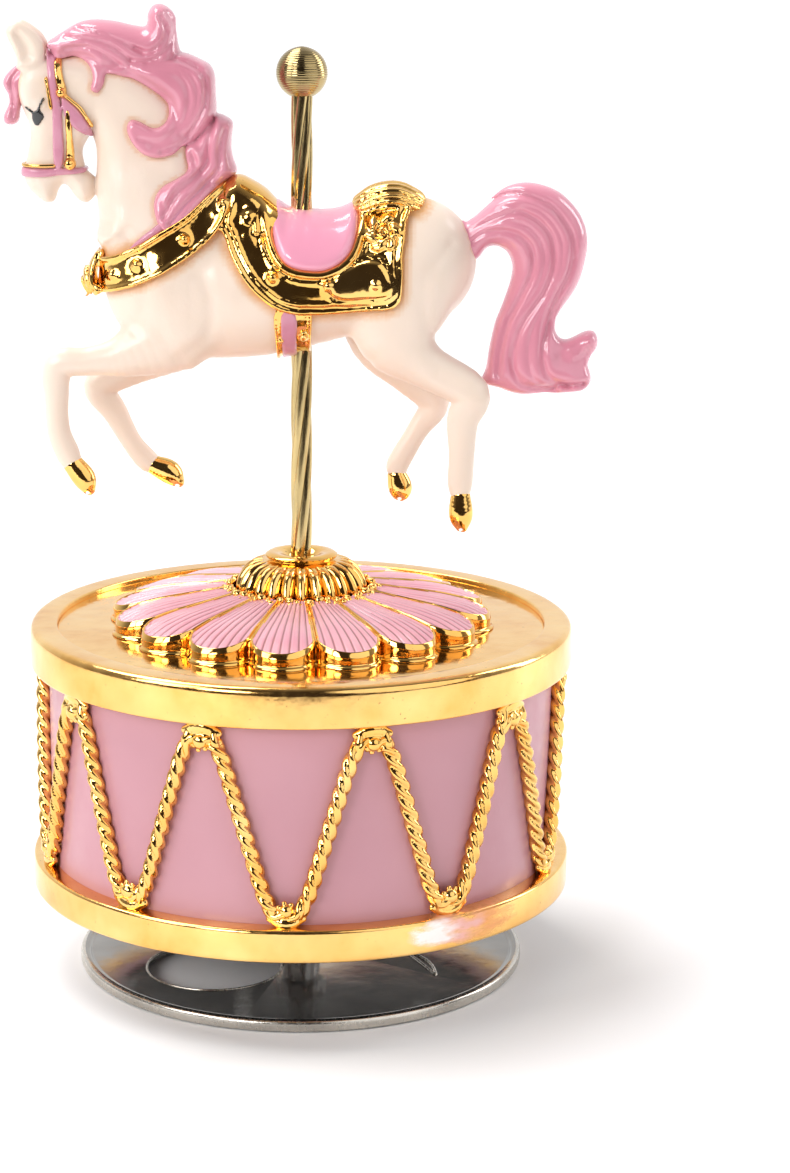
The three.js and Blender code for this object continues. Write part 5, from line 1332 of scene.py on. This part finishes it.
def build_forelock(view):
    """The short lock that falls over the forehead."""
    field = view.solid(FORELOCK, half_width=2.3, rounding=1.4)
    field = view.combed(field, FORELOCK_STROKES, depth=0.45, width=0.4)
    return view.piece("painted_forelock", field, [HAIR_PINK], "hair_pink", ["forelock"])


TAIL_END = [
    (45.8, 119.3), (46.6, 117.9), (47.9, 117.5), (49.3, 118), (51.1, 118.9), (52.6, 119.1), (53.4, 118.1),
    (53.5, 116.5), (52.8, 114.9), (51.9, 113), (52.3, 111.4), (52.4, 110.1), (51.5, 108.8), (49.9, 108.2),
]
TAIL = [
    (28.3, 138.7), (30.9, 140.7), (33.4, 142.9), (35.9, 144.7), (38, 145.6), (40.5, 145.9), (43.4, 145.4),
    (46, 144.3), (48.2, 142.5), (50, 140.2), (51.1, 137.5), (51.4, 134.6), (51, 131.7), (50.1, 128.4),
    (48.8, 125.9), (47, 123.3), (45.9, 121.2), *TAIL_END, (46.3, 108), (43.4, 107.8), (40.5, 107.5),
    (38, 107.9), (35.8, 108.7), (33.8, 109.2), (32.7, 110.3), (33.4, 112.2), (33.9, 115.7), (34.4, 118.3),
    (35, 120.8), (36.1, 123.7), (37.1, 126.6), (37.7, 128.8), (37.9, 130.9), (37.3, 132.8), (36.2, 134),
    (34.7, 134.5), (33.1, 134), (31.4, 132), (27.6, 131.6), (25.6, 136),
]
TAIL_TIP = [(45.6, 121.4), *TAIL_END, (45, 108), (42.4, 110.4), (43.2, 117)]
TAIL_OUTER = [
    (29.6, 138.6), (34.9, 142.9), (37.8, 144), (41.4, 143.5), (45, 141.7), (47.8, 138.2), (48.6, 135.7),
    (48.6, 132.8), (47.8, 129.5), (46.3, 126.6), (44.9, 123.3), (44.1, 120), (43.6, 117.2), (43.5, 114.6),
    (44.1, 112.1), (45.6, 110.5), (47.8, 109.7), (51, 109.9),
]
TAIL_MIDDLE = [
    (29.8, 137), (34.2, 139.6), (38.5, 141), (41.1, 140.2), (43.2, 138.7), (44.7, 136.6), (45.3, 133.4),
    (45, 130.2), (43.6, 126.6), (41.7, 123.7), (39.8, 120.8), (38.7, 117.9), (38.2, 115), (38.4, 112.1),
    (39.7, 110), (42, 109.2), (46, 109),
]
TAIL_INNER = [
    (30.3, 135.6), (32.8, 137.2), (36.1, 137.6), (39, 136.7), (41, 134.7), (41.5, 132), (40.9, 128.8),
    (39.2, 125.2), (37.4, 121.5), (36.4, 117.9), (35.8, 114.6), (35.6, 111.4),
]
TAIL_SCOOP = [(47, 114.4), (49, 114), (51, 115.4)]


def build_tail(view):
    """One rounded mass combed by long flowing grooves, with a scooped lock at its end."""
    taper = np.interp(view.x, [26, 32, 40], [3.0, 3.7, 4.4])
    field = view.solid(TAIL, half_width=taper, rounding=4.2)
    field = smooth_min(field, view.solid(TAIL_TIP, half_width=3.2, rounding=1.5), 0.5)
    field = view.combed(field, [TAIL_OUTER, TAIL_MIDDLE, TAIL_INNER], depth=0.8, width=0.6)
    finer = [between(TAIL_OUTER, TAIL_MIDDLE, 0.5), between(TAIL_MIDDLE, TAIL_INNER, 0.45)]
    field = view.combed(field, finer, depth=0.3, width=0.5)
    field = view.combed(field, [TAIL_SCOOP], depth=0.9, width=1.6)
    return view.piece("painted_tail", field, [HAIR_PINK], "hair_pink", ["tail"])


def shade_horse(horse, points, body, tack, hair):
    """Amber paint, strong beside the tack and thin beside the hair, more towards the feet; painted shade in
    hollows.
    """
    beside_tack = np.min([clay.at(points) for clay in tack], axis=0)
    beside_hair = np.min([clay.at(points) for clay in hair], axis=0)
    normals = np.zeros(3 * len(points), np.float32)
    horse.data.vertices.foreach_get("normal", normals)
    # How hollow the skin is, for the painted shade in hollows.
    reach = 1.8
    hollow_shade = 1 - body.at(points + reach * normals.reshape(-1, 3)) / reach
    shades = [
        0.9 * np.clip(1 - (beside_tack - 0.4) / 2.8, 0, 1) ** 1.2,
        0.55 * np.clip(1 - (beside_hair - 0.3) / 0.8, 0, 1),
        0.6 * np.clip(hollow_shade - 0.3, 0, 0.5),
        0.15 * np.clip((104 - points[:, 2]) / 12, 0, 1),
    ]
    paint_attribute(horse, "amber_and_shade", np.max(shades, axis=0))


def build_hooves():
    """Gilded hooves, each with a line between hoof and sole."""
    for name, stations in HOOVES.items():
        centre = np.mean([s[:3] for s in stations], axis=0)
        clay = Clay(centre - 6, centre + 6, HOOF_CELL)
        clay.add(stations, blend=0.3)
        x, y, z = stations[-1][:3]
        clay.carve([(x - 0.2, y - 3, z - 0.6, 0.35), (x - 0.2, y + 3, z - 0.6, 0.35)], blend=0.4)
        clay_piece(f"gilt_hoof_{name}", clay, [GILT], [f"hoof_{name}"])


# ------------------------------------------------------------------ carried-over CAD nodes

CAD_MATERIALS = [
    (SCREW_STEEL, ["shaft_bush", "shaft_lock_nut", "winding_shaft", "pole_nut", "cover_screw",
                   "movement_screw", "housing_screw", "comb", "cylinder_arbor", "second_arbor",
                   "governor_worm"]),
    (MOVEMENT_BRASS, ["great_wheel", "governor_frame", "cylinder", "second", "governor_fly"]),
    (MOVEMENT_CAST, ["movement_bedplate", "spring_housing"]),
    (SPRING_STEEL, ["mainspring"]),
    (COVER_BLACK, ["base_cover"]),
]


def finish_cad_nodes():
    """Gives each CAD node that still shows its own material, by the longest name that it starts with."""
    by_name = {name: finish for finish, names in CAD_MATERIALS for name in names}
    for node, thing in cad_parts.items():
        matches = [name for name in by_name if node.startswith(name)]
        if matches:
            thing.data.materials.clear()
            thing.data.materials.append(by_name[max(matches, key=len)])


# ------------------------------------------------------------------ stage, lights and camera


FLOOR_FRONT, FLOOR_BACK, FLOOR_SIDE = -0.42, 12.0, 12.0  # metres; it ends just in front of the camera
FLOOR_DROP = 0.0002  # metres below the plate, so that the two don't share a surface


def build_stage():
    """A pale floor with a faint drift of tone."""
    floor = bpy.data.meshes.new("floor")
    corners = [(-FLOOR_SIDE, FLOOR_FRONT, 0), (FLOOR_SIDE, FLOOR_FRONT, 0),
               (FLOOR_SIDE, FLOOR_BACK, 0), (-FLOOR_SIDE, FLOOR_BACK, 0)]
    floor.from_pydata(corners, [], [(0, 1, 2, 3)])
    made, tree, shader = material("floor", (0.88, 0.88, 0.88), 0.6)
    drift = ramp(tree, noise(tree, 3.0, 2.0), [(0.3, (0.87, 0.87, 0.875)), (0.8, (0.89, 0.89, 0.89))])
    tree.links.new(drift, shader.inputs["Base Color"])
    floor.materials.append(made)
    stage = add_object("floor", floor)
    stage.location.z = -FLOOR_DROP


def add_lamp(name, kind, strength, toward):
    """A light that stands on the toward side of the object and shines back at it."""
    light = bpy.data.lights.new(name, kind)
    light.energy = strength
    lamp = add_object(name, light)
    lamp.rotation_euler = (-Vector(toward)).to_track_quat("-Z", "Y").to_euler()
    return lamp


def softbox(name, place, aim, size, watts):
    """A rectangular light in metres, turned towards a place."""
    lamp = add_lamp(name, "AREA", watts, np.array(place) - np.array(aim))
    lamp.location = place
    lamp.data.shape = "RECTANGLE"
    lamp.data.size, lamp.data.size_y = size


def sky(name, toward, strength, spread_degrees):
    """A very wide far-off light, which reaches the whole floor evenly."""
    lamp = add_lamp(name, "SUN", strength, toward)
    lamp.data.angle = math.radians(spread_degrees)


def build_lights():
    """Three wide far-off lights, two softboxes near the object and the walls of the room."""
    middle = (0, 0, 0.09)
    sky("high_back_left", (-0.48, 0.25, 1.0), strength=2.4, spread_degrees=38)
    sky("front_left", (-0.5, -0.8, 0.38), strength=1.15, spread_degrees=22)
    sky("fill_right", (0.7, -0.6, 0.5), strength=0.9, spread_degrees=60)
    softbox("key_left", (-0.75, -0.45, 0.55), middle, size=(0.4, 0.6), watts=4)
    softbox("rim_right", (0.8, 0.3, 0.5), middle, size=(0.25, 0.7), watts=3)
    build_studio_walls()


def build_studio_walls():
    """A pale backdrop; the gilding mirrors a room that is pale behind the object and dark before it."""
    world = bpy.data.worlds.new("studio")
    world.use_nodes = True
    tree = world.node_tree
    axes = add_node(tree, "SeparateXYZ", {"Vector": add_node(tree, "TexCoord").outputs["Generated"]})
    depth = add_node(tree, "MapRange", {"Value": axes.outputs["Y"], "From Min": -1, "From Max": 1})
    dark, mid, pale = (0.04, 0.033, 0.03), (0.25, 0.24, 0.24), (0.98, 0.98, 0.99)
    walls = ramp(tree, depth.outputs["Result"], [(0.15, dark), (0.5, mid), (0.9, pale)])
    seen_directly = add_node(tree, "LightPath").outputs["Is Camera Ray"]
    colour = mix_colours(tree, seen_directly, walls, pale)
    tree.links.new(colour, tree.nodes["Background"].inputs["Color"])
    bpy.context.scene.world = world


CAMERA_PLACE = (15.6, -556.2, 203.75)  # mm
CAMERA_PITCH = 0.2337  # radians below level
CAMERA_YAW = -0.003  # turned slightly to the right
CAMERA_ROLL = 0.008
CAMERA_LENS = 95.08  # mm
CAMERA_SENSOR = 36  # mm


def build_camera():
    """The camera fitted to the photo."""
    camera = bpy.data.cameras.new("camera")
    camera.sensor_width = CAMERA_SENSOR
    camera.lens = CAMERA_LENS
    camera.clip_start = 0.01
    camera.clip_end = 60
    eye = add_object("camera", camera)
    eye.location = [MM * part for part in CAMERA_PLACE]
    level = Matrix.Rotation(CAMERA_YAW, 4, "Z") @ Matrix.Rotation(math.pi / 2 - CAMERA_PITCH, 4, "X")
    eye.rotation_euler = (level @ Matrix.Rotation(CAMERA_ROLL, 4, "Z")).to_euler()
    bpy.context.scene.camera = eye


build_plate()
build_plate_edges()
build_drum()
build_lacing()
build_flower()
build_hub()
build_beads()
build_pole()
build_ball()
build_horse()
finish_cad_nodes()
build_stage()
build_lights()
build_camera()
bpy.context.scene.view_settings.view_transform = "Standard"
